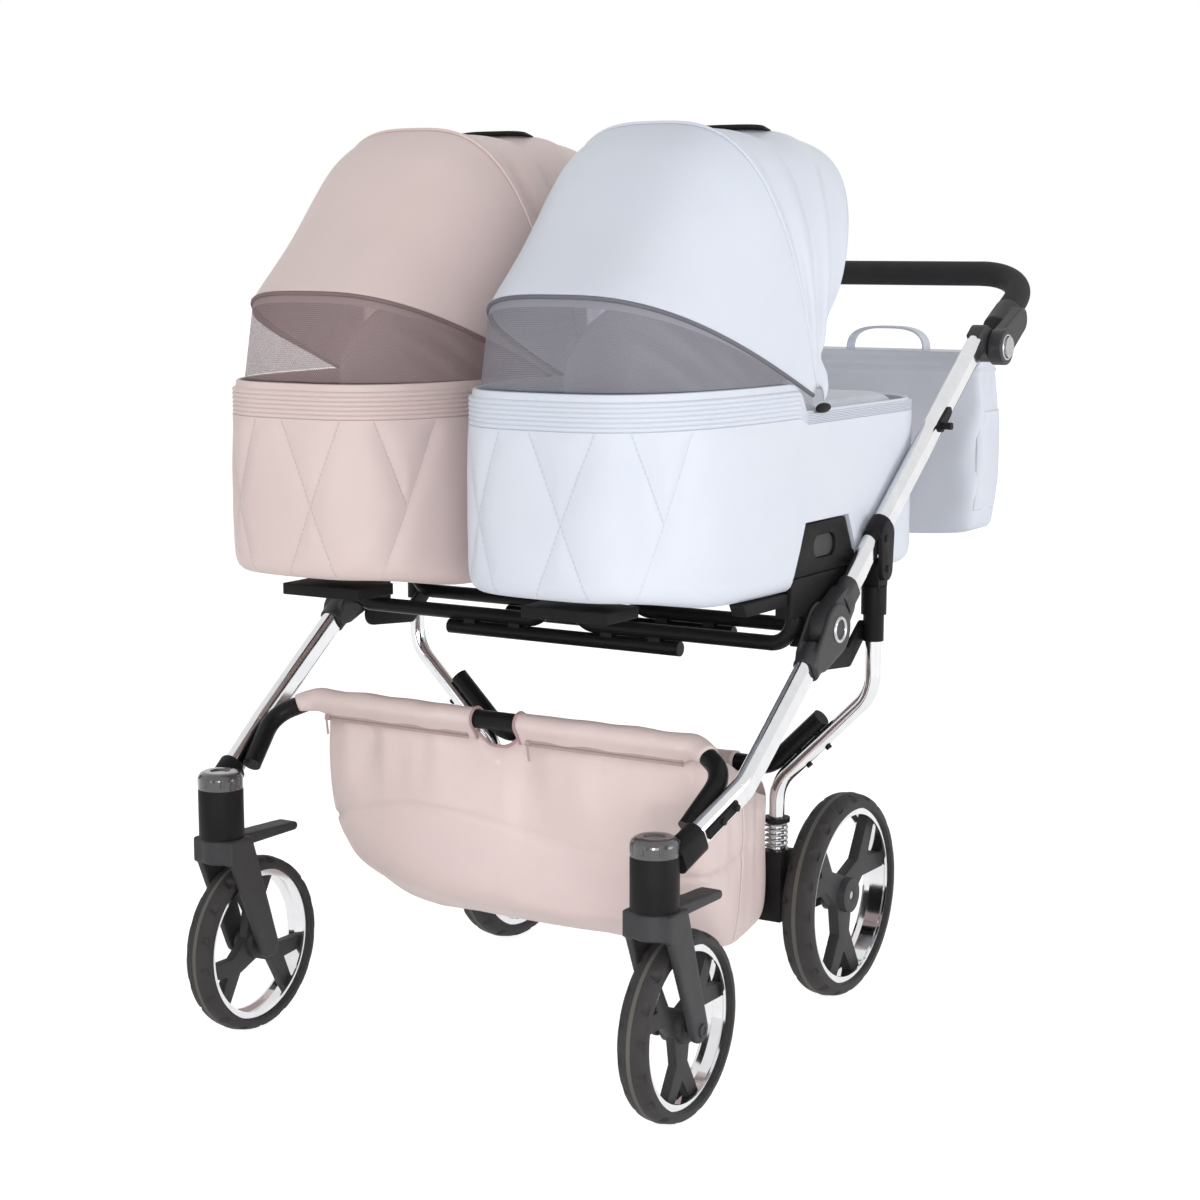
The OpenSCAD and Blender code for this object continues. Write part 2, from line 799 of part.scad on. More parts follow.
// Places children at the outer and the inner side of one cot, with local +x pointing away from the cot
module cot_flanks(side) {
    for (flank = [1, -1])
        translate([side * cot_x, 0, 0])
            scale_x(flank * side)
                children();
}
module scale_x(sign_x) {
    if (sign_x > 0) children();
    else mirror([1, 0, 0]) children();
}

// Lower adapter halves on the carrier tubes, with a lug to each fold joint
module adapter_bases() {
    lug_half = 25;
    color("dimgray")
        for (side = sides) {
            cot_flanks(side)
                side_plate(1, adapter_in + 1, adapter_out)
                    translate([adapter_front, adapter_base_z])
                        square([adapter_rear - adapter_front, adapter_split_z - side_gap - adapter_base_z]);
            side_plate(side, cot_x + adapter_in, hub_in)
                translate([fold_at.x - lug_half, fold_z - 24])
                    square([2 * lug_half, adapter_base_z - fold_z + 24 + 6]);
        }
}

// Plan outline of a cot, drawn in by an inset
module cot_outline(inset) {
    half = cot_half - inset;
    reach = cot_front_len - inset;
    corner = cot_corner_r - inset;
    end_y = cot_rear_end - inset;
    polygon(concat(
        [for (t = [0 : 6 : 180]) [half * pow_cos(t, cot_round), cot_mid_y - reach * pow_sin(t, cot_round)]],
        [for (t = [180 : -15 : 90]) [-half + corner + corner * cos(t), end_y - corner + corner * sin(t)]],
        [for (t = [90 : -15 : 0]) [half - corner + corner * cos(t), end_y - corner + corner * sin(t)]]
    ));
}

// Side view of the upper adapter, grown by a margin
module adapter_outline(grow) {
    crown_r = 26;
    mid = (adapter_front + adapter_rear) / 2;
    translate([adapter_front - grow, cot_z - 20])
        square([adapter_rear - adapter_front + 2 * grow, adapter_split_z - cot_z + 40]);
    polygon([
        [adapter_front - grow, adapter_split_z],
        [adapter_rear + grow, adapter_split_z],
        [adapter_rear - 34 + grow, adapter_top + grow],
        [adapter_front + 34 - grow, adapter_top + grow]
    ]);
    translate([mid, adapter_top - crown_r]) circle(r = crown_r + grow);
}

// Hollow cot body with pockets for the adapters, a raised collar and the hood's pivot ears
module cot_tub(side, tint) {
    color(tint)
        difference() {
            union() {
                difference() {
                    translate([side * cot_x, 0, cot_z])
                        union() {
                            linear_extrude(cot_h) cot_outline(0);
                            linear_extrude(cot_h + cot_collar_h)
                                intersection() {
                                    cot_outline(0);
                                    translate([-cot_half, cot_mid_y - cot_front_len])
                                        square([cot_w, cot_front_len]);
                                }
                        }
                    translate([side * cot_x, 0, cot_z + cot_floor])
                        linear_extrude(cot_h + cot_collar_h)
                            cot_outline(cot_wall);
                }
                cot_flanks(side) {
                    side_plate(1, adapter_in - pocket_wall, cot_half - cot_wall + 1)
                        intersection() {
                            adapter_outline(pocket_gap + pocket_wall);
                            translate([adapter_front - 50, cot_z + cot_floor - 1]) square([400, 200]);
                        }
                    cross_pin(1, [cot_mid_y, hood_z], ear_r, cot_half - 6, cot_half);
                    cross_pin(1, [cot_mid_y, hood_z], hood_pin_r, rear_eye_out - eye_t, cot_half);
                }
            }
            cot_flanks(side) {
                side_plate(1, adapter_in, cot_half + 1)
                    adapter_outline(pocket_gap);
                difference() {
                    cross_pin(1, [cot_mid_y, hood_z], hood_eye_r + 8, cot_half - cot_wall - 20, cot_half - 6);
                    cross_pin(1, [cot_mid_y, hood_z], hood_pin_r, cot_half - cot_wall - 21, cot_half);
                }
            }
        }
}
module cot_tub_left() { cot_tub(left, "aliceblue"); }
module cot_tub_right() { cot_tub(right, "mistyrose"); }

// Foot cover, lying inside the walls
module cot_apron(side, tint) {
    color(tint)
        translate([side * cot_x, 0, cot_top - apron_t])
            linear_extrude(apron_t)
                intersection() {
                    cot_outline(cot_wall + seat_gap);
                    translate([-cot_half, apron_front])
                        square([cot_w, cot_rear_end - apron_front]);
                }
}
module cot_apron_left() { cot_apron(left, "aliceblue"); }
module cot_apron_right() { cot_apron(right, "mistyrose"); }

// Front foot, side rails and upper adapter halves under and beside a cot
module cot_base(side) {
    foot_w = 124;
    foot_t = 15;
    rail_t = 16;
    foot_y = cot_mid_y - 332;
    color("dimgray") {
        translate([side * cot_x - foot_w / 2, foot_y, cot_z - foot_t])
            cube([foot_w, 74, foot_t]);
        cot_flanks(side)
            difference() {
                union() {
                    side_plate(1, adapter_in, adapter_out)
                        intersection() {
                            adapter_outline(0);
                            translate([adapter_front - 50, adapter_split_z]) square([400, 200]);
                        }
                    side_plate(1, adapter_in, adapter_out - 4)
                        polygon([
                            [adapter_front - 120, cot_z],
                            [adapter_front - 110, cot_z - rail_t],
                            [adapter_front - 2, cot_z - rail_t],
                            [adapter_front - 2, cot_z]
                        ]);
                }
                side_plate(1, adapter_out - 16, adapter_out + 1)
                    cot_window(0);
            }
    }
}
module cot_base_left() { cot_base(left); }
module cot_base_right() { cot_base(right); }

// Finger window in the upper adapter, drawn in by an inset
module cot_window(inset) {
    mid = [(adapter_front + adapter_rear) / 2, adapter_split_z + 34];
    link_outline(mid - [16, 0], 15 - inset, mid + [16, 0], 15 - inset);
}

// Release button in the window on the cot's outer side
module cot_button(side) {
    color("black")
        translate([side * cot_x, 0, 0])
            scale_x(side)
                side_plate(1, adapter_out - 16 + button_travel + 1, adapter_out - 4)
                    cot_window(1);
}
module cot_button_left() { cot_button(left); }
module cot_button_right() { cot_button(right); }

// Section of a hood panel as [radius from the pivot line, x], outer curve then inner curve
module hood_section(half, r, t, hub) {
    first = asin(pow(hub / (r - t), hood_round / 2));
    steps = 16;
    span = 180 - 2 * first;
    polygon(concat(
        [for (i = [0 : steps]) let (a = first + span * i / steps)
            [r * pow_sin(a, hood_round), half * pow_cos(a, hood_round)]],
        [for (i = [steps : -1 : 0]) let (a = first + span * i / steps)
            [(r - t) * pow_sin(a, hood_round), (half - t) * pow_cos(a, hood_round)]]
    ));
}

// Sweeps a hood section about the pivot line, from one angle above the front to another
module hood_sweep(side, from, to, fragments = 96) {
    translate([side * cot_x, cot_mid_y, hood_z])
        rotate([0, -90, 0])
            rotate(from - 90)
                rotate_extrude(angle = to - from, $fn = fragments)
                    children();
}

// Cloth stretched straight between the visor bow and the seam bow, with an eye on each pivot pin
module hood_front(side, tint) {
    one_flat = 7;
    color(tint) {
        hood_sweep(side, visor_angle, seam_angle, one_flat)
            hood_section(hood_half, hood_r, hood_t, hood_hub_r);
        cot_flanks(side)
            difference() {
                cross_pin(1, [cot_mid_y, hood_z], hood_eye_r, eye_out - eye_t, eye_out);
                cross_pin(1, [cot_mid_y, hood_z], hood_pin_r + running_fit, eye_out - eye_t - 1, eye_out + 1);
            }
    }
}
module hood_front_left() { hood_front(left, "lightsteelblue"); }
module hood_front_right() { hood_front(right, "rosybrown"); }

// Insect net from the visor edge down to the collar
module hood_mesh(side) {
    color("silver")
        intersection() {
            hood_sweep(side, 0, visor_angle)
                hood_section(hood_half, hood_r, hood_t / 2, hood_hub_r * 4);
            translate([side * cot_x - cot_half, cot_mid_y - cot_front_len - 10, cot_collar_top + seat_gap])
                cube([cot_w, cot_front_len + 10, hood_r]);
        }
}
module hood_mesh_left() { hood_mesh(left); }
module hood_mesh_right() { hood_mesh(right); }

// Rear hood panel, held on the pivot pins inside the front panel's eyes
module hood_rear(side, tint) {
    color(tint) {
        hood_sweep(side, seam_angle - hood_overlap, hood_rear_angle)
            hood_section(rear_panel_half, rear_panel_r, hood_t, hood_eye_r + 1);
        cot_flanks(side)
            difference() {
                cross_pin(1, [cot_mid_y, hood_z], hood_eye_r + 5, rear_eye_out - eye_t, rear_eye_out);
                cross_pin(1, [cot_mid_y, hood_z], hood_pin_r, rear_eye_out - eye_t - 1, rear_eye_out + 1);
            }
    }
}
module hood_rear_left() { hood_rear(left, "aliceblue"); }
module hood_rear_right() { hood_rear(right, "mistyrose"); }

// Carry strap across the top of the rear panel
module hood_handle(side) {
    strap_half = 48;
    strap_t = 5;
    color("black")
        intersection() {
            hood_sweep(side, 100, 111)
                hood_section(rear_panel_half + strap_t + seat_gap, rear_panel_r + strap_t + seat_gap, strap_t,
                    hood_hub_r);
            translate([side * cot_x - strap_half, cot_mid_y - hood_r, hood_z])
                cube([2 * strap_half, 2 * hood_r, 2 * hood_r]);
        }
}
module hood_handle_left() { hood_handle(left); }
module hood_handle_right() { hood_handle(right); }

// Cloth basket: rings of points from the rim down to the floor, outside and then inside
basket_front_y = back(hoop_y) + 2;
basket_rear_y = back(rear_leg_y) - 2;
basket_front_half = hoop_rim_half - 3;
basket_rear_half = rear_foot_x - 29;
basket_lean = 24;
basket_plan_square = 9;
basket_square = 5;
basket_steps = 40;
basket_levels = [0, 1, 4, 12, 25, 45, 65, 80];
function between(a, b, share) = a + (b - a) * share;
function basket_point(level, k, inset) =
    let (
        t = k * 360 / basket_steps,
        narrow = pow(cos(level), 2 / basket_square),
        drop = pow(sin(level), 2 / basket_square),
        mid_y = (basket_front_y + basket_rear_y) / 2,
        half_y = (basket_rear_y - basket_front_y) / 2 - inset,
        share_y = sign(sin(t)) * pow_sin(t, basket_plan_square),
        half_x = between(basket_front_half, basket_rear_half, (1 + share_y) / 2) - inset,
        rim_z = between(hoop_z, rear_hoop_z, (1 + share_y) / 2) - hoop_d / 2 - slim,
        floor_z = basket_floor_z + inset,
        lean = -basket_lean * share_y * drop
    )
    [narrow * half_x * pow_cos(t, basket_plan_square), mid_y + narrow * half_y * share_y + lean,
        between(rim_z, floor_z, drop)];

module basket() {
    rings = len(basket_levels);
    shell = rings * basket_steps;
    points = concat(
        [for (inset = [0, basket_t], i = [0 : rings - 1], k = [0 : basket_steps - 1])
            basket_point(basket_levels[i], k, inset)],
        [for (inset = [0, basket_t])
            [0, (basket_front_y + basket_rear_y) / 2, basket_floor_z + inset]]
    );
    function next(k) = (k + 1) % basket_steps;
    walls = [for (i = [0 : rings - 2], k = [0 : basket_steps - 1])
        let (a = i * basket_steps + k, b = i * basket_steps + next(k), c = a + basket_steps, d = b + basket_steps)
        each [[a, c, b], [b, c, d], [shell + a, shell + b, shell + c], [shell + b, shell + d, shell + c]]];
    floors = [for (k = [0 : basket_steps - 1])
        let (a = (rings - 1) * basket_steps + k, b = (rings - 1) * basket_steps + next(k))
        each [[a, 2 * shell, b], [shell + a, shell + b, 2 * shell + 1]]];
    brims = [for (k = [0 : basket_steps - 1])
        each [[k, next(k), shell + k], [next(k), shell + next(k), shell + k]]];
    color("mistyrose")
        polyhedron(points, concat(walls, floors, brims));
}

// Changing bag with its two hanging straps
module bag() {
    round_r = 22;
    top_draw = 14;
    strap_d = 8;
    arch_half = 70;
    strap_z = bag_z + bag_h - 18;
    color("lightsteelblue") {
        hull()
            for (side = sides)
                for (y = [bag_y + round_r, bag_y + bag_depth - round_r]) {
                    translate([bag_x + side * (bag_w / 2 - round_r), back(y), bag_z + round_r])
                        sphere(r = round_r, $fn = 24);
                    translate([bag_x + side * (bag_w / 2 - round_r - top_draw), back(y), bag_z + bag_h - round_r])
                        sphere(r = round_r, $fn = 24);
                }
        bent_tube([
            [bag_x - arch_half, back(bag_y + bag_depth / 2), bag_z + bag_h - 6],
            [bag_x - arch_half * 0.6, back(bag_y + bag_depth / 2), bag_z + bag_h + 36],
            [bag_x + arch_half * 0.6, back(bag_y + bag_depth / 2), bag_z + bag_h + 36],
            [bag_x + arch_half, back(bag_y + bag_depth / 2), bag_z + bag_h - 6]
        ], 30, 12);
        for (side = sides)
            rod([bag_x + side * (bag_w / 2 - 40), back(bag_y + 40), strap_z],
                [side * (tube_in - strap_d * 0.46), handle_at.x + 6, handle_at.y - 14], strap_d);
    }
}

// Steel axle with a stub for each rear wheel
module rear_axle() {
    color("silver") {
        cross_pin(1, [back(0), rear_axle_z], axle_tube_r, -rear_foot_x, rear_foot_x);
        cross_pin(1, [back(0), rear_axle_z], axle_r, -stub_end, stub_end);
    }
}

// Suspension housings that slide on the rear legs, each with an arm back to the axle
module suspension_housings() {
    leg_at = [back(rear_leg_y), 150];
    color("dimgray")
        for (side = sides)
            difference() {
                union() {
                    translate([side * rear_foot_x - housing_half, back(rear_leg_y) - 20, housing_floor_z])
                        cube([2 * housing_half, 40, housing_top_z - housing_floor_z]);
                    side_plate(side, rear_foot_x - housing_half, rear_foot_x + housing_half)
                        link_outline(leg_at, 20, [back(0), rear_axle_z], 20);
                }
                translate([side * rear_foot_x, back(rear_leg_y), rear_foot_z - suspension_travel - 4])
                    cylinder(r = rear_leg_d / 2 + running_fit, h = housing_top_z);
                cross_pin(side, [back(0), rear_axle_z], axle_tube_r, rear_foot_x - housing_half - 1, rear_foot_x);
                cross_pin(side, [back(0), rear_axle_z], axle_r, rear_foot_x - 1, rear_foot_x + housing_half + 1);
            }
}

// Points of a spring's wire, and the tube round them
spring_sides = 6;
rings_per_turn = 8;
spring_steps = spring_turns * rings_per_turn;
spring_run = spring_h - spring_wire - 2 * seat_gap;
function coil_point(i) = [
    spring_r * cos(i * 360 / rings_per_turn),
    spring_r * sin(i * 360 / rings_per_turn),
    spring_run * i / spring_steps
];
function coil_ring(i) =
    let (a = i * 360 / rings_per_turn, out = [cos(a), sin(a), 0])
    [for (k = [0 : spring_sides - 1])
        coil_point(i) + spring_wire / 2 * (cos(k * 360 / spring_sides) * out + sin(k * 360 / spring_sides) * unit_z)];
spring_gap = min([for (i = [0 : spring_steps], j = [0 : spring_steps])
    if (j - i > rings_per_turn / 2) norm(coil_point(j) - coil_point(i))]) - spring_wire;
echo(spring_gap = spring_gap);

module spring_tube() {
    points = [for (i = [0 : spring_steps]) each coil_ring(i)];
    last = spring_steps * spring_sides;
    polyhedron(points, concat(
        [for (i = [0 : spring_steps - 1], k = [0 : spring_sides - 1])
            let (a = i * spring_sides + k, b = i * spring_sides + (k + 1) % spring_sides)
            each [[a, b, a + spring_sides], [b, b + spring_sides, a + spring_sides]]],
        [for (k = [1 : spring_sides - 2]) each [[0, k + 1, k], [last, last + k, last + k + 1]]]
    ));
}

module rear_springs() {
    color("silver")
        for (side = sides)
            translate(rear_point(side, [rear_foot_x, housing_top_z + spring_wire / 2 + seat_gap]))
                spring_tube();
}

// Foot brake turning on the axle
module brake_pedal() {
    pedal_half = 45;
    axle_at = [back(0), rear_axle_z];
    color("black")
        difference() {
            union() {
                cross_pin(1, axle_at, axle_tube_r + 6, -pedal_half, pedal_half);
                side_plate(1, -pedal_half, pedal_half)
                    link_outline(axle_at + [12, 4], 7, axle_at + [62, 22], 6);
            }
            cross_pin(1, axle_at, axle_tube_r + running_fit, -pedal_half - 1, pedal_half + 1);
        }
}

// Tyre section: a rounded tread over a flat seat
module tyre(x, at, d, w) {
    seat = rim_share * d / 2;
    depth = d / 2 - seat;
    tread_round = 3;
    color("black")
        translate([x, at.x, at.y])
            rotate([0, 90, 0])
                rotate_extrude($fn = 128)
                    polygon([for (t = [0 : 10 : 180])
                        [seat + depth * pow_sin(t, tread_round), w / 2 * pow_cos(t, tread_round)]]);
}

// Chrome rim: a ring with a hollow well and a lip at each face
rim_well_t = 3;
module rim(x, at, d, w) {
    seat = rim_share * d / 2;
    lip_half = w / 2 - 3;
    lip = 9;
    color("gainsboro")
        translate([x, at.x, at.y])
            rotate([0, 90, 0])
                rotate_extrude($fn = 128)
                    polygon([
                        [seat, -lip_half], [seat, lip_half], [seat - lip, lip_half], [seat - lip, lip_half - 3],
                        [seat - rim_well_t, lip_half - 8], [seat - rim_well_t, 8 - lip_half],
                        [seat - lip, 3 - lip_half],
                        [seat - lip, -lip_half]
                    ]);
}

// Black hub with three arms that each split in two
module spokes(x, at, d, w, bore_r, side) {
    reach = rim_share * d / 2 - rim_well_t;
    hub = d * 0.085;
    fork_at = d * 0.2;
    half_split = 19;
    arm_t = w * 0.36;
    color("dimgray")
        translate([x, at.x, at.y])
            rotate([0, side * 90, 0])
                difference() {
                    union() {
                        translate([0, 0, -w / 2 + 3])
                            cylinder(r = hub, h = w - 6);
                        translate([0, 0, -arm_t / 2])
                            linear_extrude(arm_t)
                                for (i = [0 : 2])
                                    rotate(i * 120) {
                                        link_outline([0, 0], hub, [fork_at, 0], d * 0.052);
                                        for (split = [-half_split, half_split])
                                            intersection() {
                                                link_outline([fork_at, 0], d * 0.05,
                                                    (reach + 8) * [cos(split), sin(split)], d * 0.036);
                                                circle(r = reach);
                                            }
                                    }
                    }
                    translate([0, 0, -w])
                        cylinder(r = bore_r + running_fit, h = 2 * w);
                }
}

rear_axle_at = [back(0), rear_axle_z];
front_axle_at = [front_axle_y, front_axle_z];
module rear_tyre_left() { tyre(rear_wheel_x, rear_axle_at, rear_wheel_d, rear_tyre_w); }
module rear_rim_left() { rim(rear_wheel_x, rear_axle_at, rear_wheel_d, rear_tyre_w); }
module rear_spokes_left() { spokes(rear_wheel_x, rear_axle_at, rear_wheel_d, rear_tyre_w, axle_r, left); }
module rear_tyre_right() { tyre(-rear_wheel_x, rear_axle_at, rear_wheel_d, rear_tyre_w); }
module rear_rim_right() { rim(-rear_wheel_x, rear_axle_at, rear_wheel_d, rear_tyre_w); }
module rear_spokes_right() { spokes(-rear_wheel_x, rear_axle_at, rear_wheel_d, rear_tyre_w, axle_r, right); }
module front_tyre_left() { tyre(front_wheel_x, front_axle_at, front_wheel_d, front_tyre_w); }
module front_rim_left() { rim(front_wheel_x, front_axle_at, front_wheel_d, front_tyre_w); }
module front_spokes_left() { spokes(front_wheel_x, front_axle_at, front_wheel_d, front_tyre_w, axle_r, left); }
module front_tyre_right() { tyre(-front_wheel_x, front_axle_at, front_wheel_d, front_tyre_w); }
module front_rim_right() { rim(-front_wheel_x, front_axle_at, front_wheel_d, front_tyre_w); }
module front_spokes_right() { spokes(-front_wheel_x, front_axle_at, front_wheel_d, front_tyre_w, axle_r, right); }

// Castor fork: stem, crown, two blades and the axle between them
blade_in = front_tyre_w / 2 + blade_gap;
blade_out = blade_in + blade_t;
crown_top = head_z - slim;
crown_z = front_wheel_d + 6;
lever_half = 15;
lever_pin_r = 3;
lever_at = [head_y + 36, crown_top - 10];
module front_fork(side) {
    crown_r = 24;
    crown_at = [head_y + 4, (crown_top + crown_z) / 2];
    color("dimgray")
        translate([side * front_wheel_x, 0, 0]) {
            translate([0, head_y, crown_z])
                cylinder(r = stem_r, h = head_z + head_h - 12 - crown_z);
            translate([0, head_y, crown_z])
                cylinder(r = head_r - 3, h = crown_top - crown_z);
            translate([-blade_out, head_y - 20, crown_z])
                cube([2 * blade_out, 44, crown_top - crown_z]);
            for (flank = sides)
                side_plate(flank, blade_in, blade_out)
                    intersection() {
                        link_outline(crown_at, crown_r, front_axle_at, 17);
                        translate([head_y - 100, 0]) square([300, crown_top]);
                    }
            cross_pin(1, front_axle_at, axle_r, -blade_out, blade_out);
            for (flank = sides)
                side_plate(flank, lever_half + side_gap, lever_half + 6)
                    link_outline([head_y + 16, lever_at.y], 9, lever_at, 7);
            cross_pin(1, lever_at, lever_pin_r, -lever_half - 6, lever_half + 6);
        }
}
module front_fork_left() { front_fork(left); }
module front_fork_right() { front_fork(right); }

// Swivel lock lever behind the fork's crown
module swivel_lever(side) {
    tip_r = 6;
    tip_at = [head_y + lever_reach - tip_r, crown_top - 12];
    color("dimgray")
        translate([side * front_wheel_x, 0, 0])
            difference() {
                side_plate(1, -lever_half, lever_half)
                    link_outline(lever_at, 8, tip_at, tip_r);
                cross_pin(1, lever_at, lever_pin_r + running_fit, -lever_half - 1, lever_half + 1);
            }
}
module swivel_lever_left() { swivel_lever(left); }
module swivel_lever_right() { swivel_lever(right); }

front_legs();
head_tubes();
head_caps();
fold_hubs();
saddle_tubes();
joining_tubes();
adapter_bases();
rear_leg_links();
basket_hoop();
hoop_clamps();
basket();
pusher_tubes();
fold_knuckles();
pusher_caps();
upper_brackets();
accessory_pegs();
bag();
handle_grip();
handle_knuckles();
handle_button_left();
handle_button_right();
rear_legs();
rear_leg_fittings();
basket_rear_hoop();
rear_axle();
suspension_housings();
rear_springs();
brake_pedal();
rear_tyre_left();
rear_rim_left();
rear_spokes_left();
rear_tyre_right();
rear_rim_right();
rear_spokes_right();
front_tyre_left();
front_rim_left();
front_spokes_left();
front_tyre_right();
front_rim_right();
front_spokes_right();
front_fork_left();
front_fork_right();
swivel_lever_left();
swivel_lever_right();
cot_tub_left();
cot_apron_left();
cot_base_left();
cot_button_left();
hood_front_left();
hood_mesh_left();
hood_rear_left();
hood_handle_left();
cot_tub_right();
cot_apron_right();
cot_base_right();
cot_button_right();
hood_front_right();
hood_mesh_right();
hood_rear_right();
hood_handle_right();
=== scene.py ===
# %% [markdown]
# This lesson dresses a side-by-side twin pram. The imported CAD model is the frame: tubes, hubs, wheels and
# joints. The soft goods, cots, hoods, basket and bag, are modelled here on top of it. Everything is in
# metres, +Z is up and the pram rolls towards -Y, so a piece goes where the frame says.

# %% Load the frame
import json
import math

import bpy
from mathutils import Matrix, Vector, noise

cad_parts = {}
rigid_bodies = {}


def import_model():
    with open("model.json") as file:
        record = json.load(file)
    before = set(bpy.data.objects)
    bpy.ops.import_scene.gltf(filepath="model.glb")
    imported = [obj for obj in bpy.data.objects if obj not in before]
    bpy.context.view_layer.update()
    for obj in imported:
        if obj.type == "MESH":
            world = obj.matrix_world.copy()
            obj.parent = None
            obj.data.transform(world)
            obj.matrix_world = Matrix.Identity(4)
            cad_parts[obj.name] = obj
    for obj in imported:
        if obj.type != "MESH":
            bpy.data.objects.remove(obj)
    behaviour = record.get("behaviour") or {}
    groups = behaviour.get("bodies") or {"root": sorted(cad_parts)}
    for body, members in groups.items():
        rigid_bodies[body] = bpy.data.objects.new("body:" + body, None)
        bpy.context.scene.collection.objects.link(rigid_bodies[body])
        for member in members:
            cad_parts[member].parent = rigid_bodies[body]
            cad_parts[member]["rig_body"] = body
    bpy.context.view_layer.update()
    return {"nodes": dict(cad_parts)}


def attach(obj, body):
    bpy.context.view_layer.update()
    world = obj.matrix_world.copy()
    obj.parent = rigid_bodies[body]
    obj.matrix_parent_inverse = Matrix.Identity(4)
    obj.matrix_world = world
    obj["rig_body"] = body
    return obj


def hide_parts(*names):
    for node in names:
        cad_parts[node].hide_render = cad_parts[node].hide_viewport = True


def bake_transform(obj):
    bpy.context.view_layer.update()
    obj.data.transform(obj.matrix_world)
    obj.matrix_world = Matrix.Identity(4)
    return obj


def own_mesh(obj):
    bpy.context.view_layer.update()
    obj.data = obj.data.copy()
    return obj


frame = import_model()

nodes = frame["nodes"]
SIDES = {"left": 1, "right": -1}
print("nodes in the frame:", len(nodes))

# %% [markdown]
# The camera looks at the pram's front and its left-hand side from a little above, with a long lens.
# Its place was solved from wheel centres and tube ends in the photograph, so no shift is needed.

# %% Camera
scene = bpy.context.scene
CAMERA_SPOT = (1.7345, -2.9406, 1.0648)
CAMERA_DOWN = 0.1493
CAMERA_TURN = 0.5551
bpy.ops.object.camera_add(location=CAMERA_SPOT, rotation=(math.pi / 2 - CAMERA_DOWN, 0, CAMERA_TURN))
scene.camera = bpy.context.object
scene.camera.data.lens = 72.08
print("camera at", CAMERA_SPOT)

# %% [markdown]
# Pieces are started as primitives and shaped in edit mode. An operator acts on all that is selected,
# so each step begins with nothing selected. These helpers keep that in one place.

# %% Selection and edit mode helpers
def start_fresh():
    """Object mode with nothing selected."""
    if bpy.context.mode != "OBJECT":
        bpy.ops.object.mode_set(mode="OBJECT")
    bpy.ops.object.select_all(action="DESELECT")


def take(*pieces):
    """Select these pieces alone, the first of them active."""
    start_fresh()
    for piece in pieces:
        piece.select_set(True)
    bpy.context.view_layer.objects.active = pieces[0]


def in_edit_mode(piece, *jobs):
    """Run each job in edit mode on the whole mesh of a piece."""
    take(piece)
    bpy.ops.object.mode_set(mode="EDIT")
    for job in jobs:
        bpy.ops.mesh.select_all(action="SELECT")
        job()
    bpy.ops.object.mode_set(mode="OBJECT")


def merge_doubles():
    bpy.ops.mesh.remove_doubles(threshold=0.00002)


def point_outwards():
    bpy.ops.mesh.normals_make_consistent(inside=False)


def turn_over():
    bpy.ops.mesh.flip_normals()


def finish_with(piece, kind, **settings):
    """Add a modifier with these settings and apply it."""
    take(piece)
    modifier = piece.modifiers.new(kind.title(), kind)
    for setting, value in settings.items():
        setattr(modifier, setting, value)
    bpy.ops.object.modifier_apply(modifier=modifier.name)


def smooth(piece, angle=50):
    """Shade a piece smooth, keeping edges sharper than an angle."""
    take(piece)
    bpy.ops.object.shade_smooth_by_angle(angle=math.radians(angle))


# %% [markdown]
# Cloth is cut flat and bent into shape. A grid primitive is that flat cut: each of its points is moved to
# where the sewn cloth has it, and its UV map keeps the flat size in metres, so that stitches follow the
# surface.

# %% Grids bent into shape
def wrapped_grid(name, across, along, place, pattern=None, shell=True):
    """A grid whose points move to place(u, v), u and v from 0 to 1. A shell is closed and faces outwards."""
    start_fresh()
    bpy.ops.mesh.primitive_grid_add(x_subdivisions=across, y_subdivisions=along, size=1)
    piece = bpy.context.object
    piece.name = name
    piece.data.name = name
    flat = [(vertex.co.x + 0.5, vertex.co.y + 0.5) for vertex in piece.data.vertices]
    for vertex, (u, v) in zip(piece.data.vertices, flat):
        vertex.co = place(u, v)
    if pattern:
        layer = piece.data.uv_layers.active.data
        for loop in piece.data.loops:
            layer[loop.index].uv = pattern(*flat[loop.vertex_index])
    in_edit_mode(piece, merge_doubles, point_outwards if shell else turn_over)
    take(piece)
    bpy.ops.object.shade_smooth()
    return piece


def swept(name, path, section, up=(0, 0, 1)):
    """A bar of one section along a path, closed at both ends. The section lists (aside, up) offsets."""
    points = [Vector(point) for point in path]
    up = Vector(up)
    rings = [[points[0]] * len(section)]
    for index, point in enumerate(points):
        ahead = points[min(index + 1, len(points) - 1)] - points[max(index - 1, 0)]
        aside = ahead.cross(up).normalized()
        top = aside.cross(ahead).normalized()
        rings.append([point + aside * a + top * b for a, b in section])
    rings.append([points[-1]] * len(section))
    return wrapped_grid(
        name,
        len(section),
        len(rings) - 1,
        lambda u, v: rings[round(v * (len(rings) - 1))][round(u * len(section)) % len(section)],
    )


def round_section(radius, sides=12):
    turns = [math.tau * k / sides for k in range(sides)]
    return [(radius * math.cos(turn), radius * math.sin(turn)) for turn in turns]


def flat_section(width, thickness, sides=20):
    """A strap's section: wide, thin and rounded at its edges."""
    turns = [math.tau * k / sides for k in range(sides)]
    return [(rounded(math.cos(a), 6) * width / 2, rounded(math.sin(a), 3) * thickness / 2) for a in turns]


def rounded(value, squareness):
    """A sine or cosine raised so that circles become rounded boxes, 2 leaves it as it is."""
    return math.copysign(abs(value) ** (2 / squareness), value)


def ease(value, start, end):
    """0 before start, 1 after end and a smooth step between them."""
    share = min(1, max(0, (value - start) / (end - start)))
    return share * share * (3 - 2 * share)


def between(first, last, share):
    return first + (last - first) * share


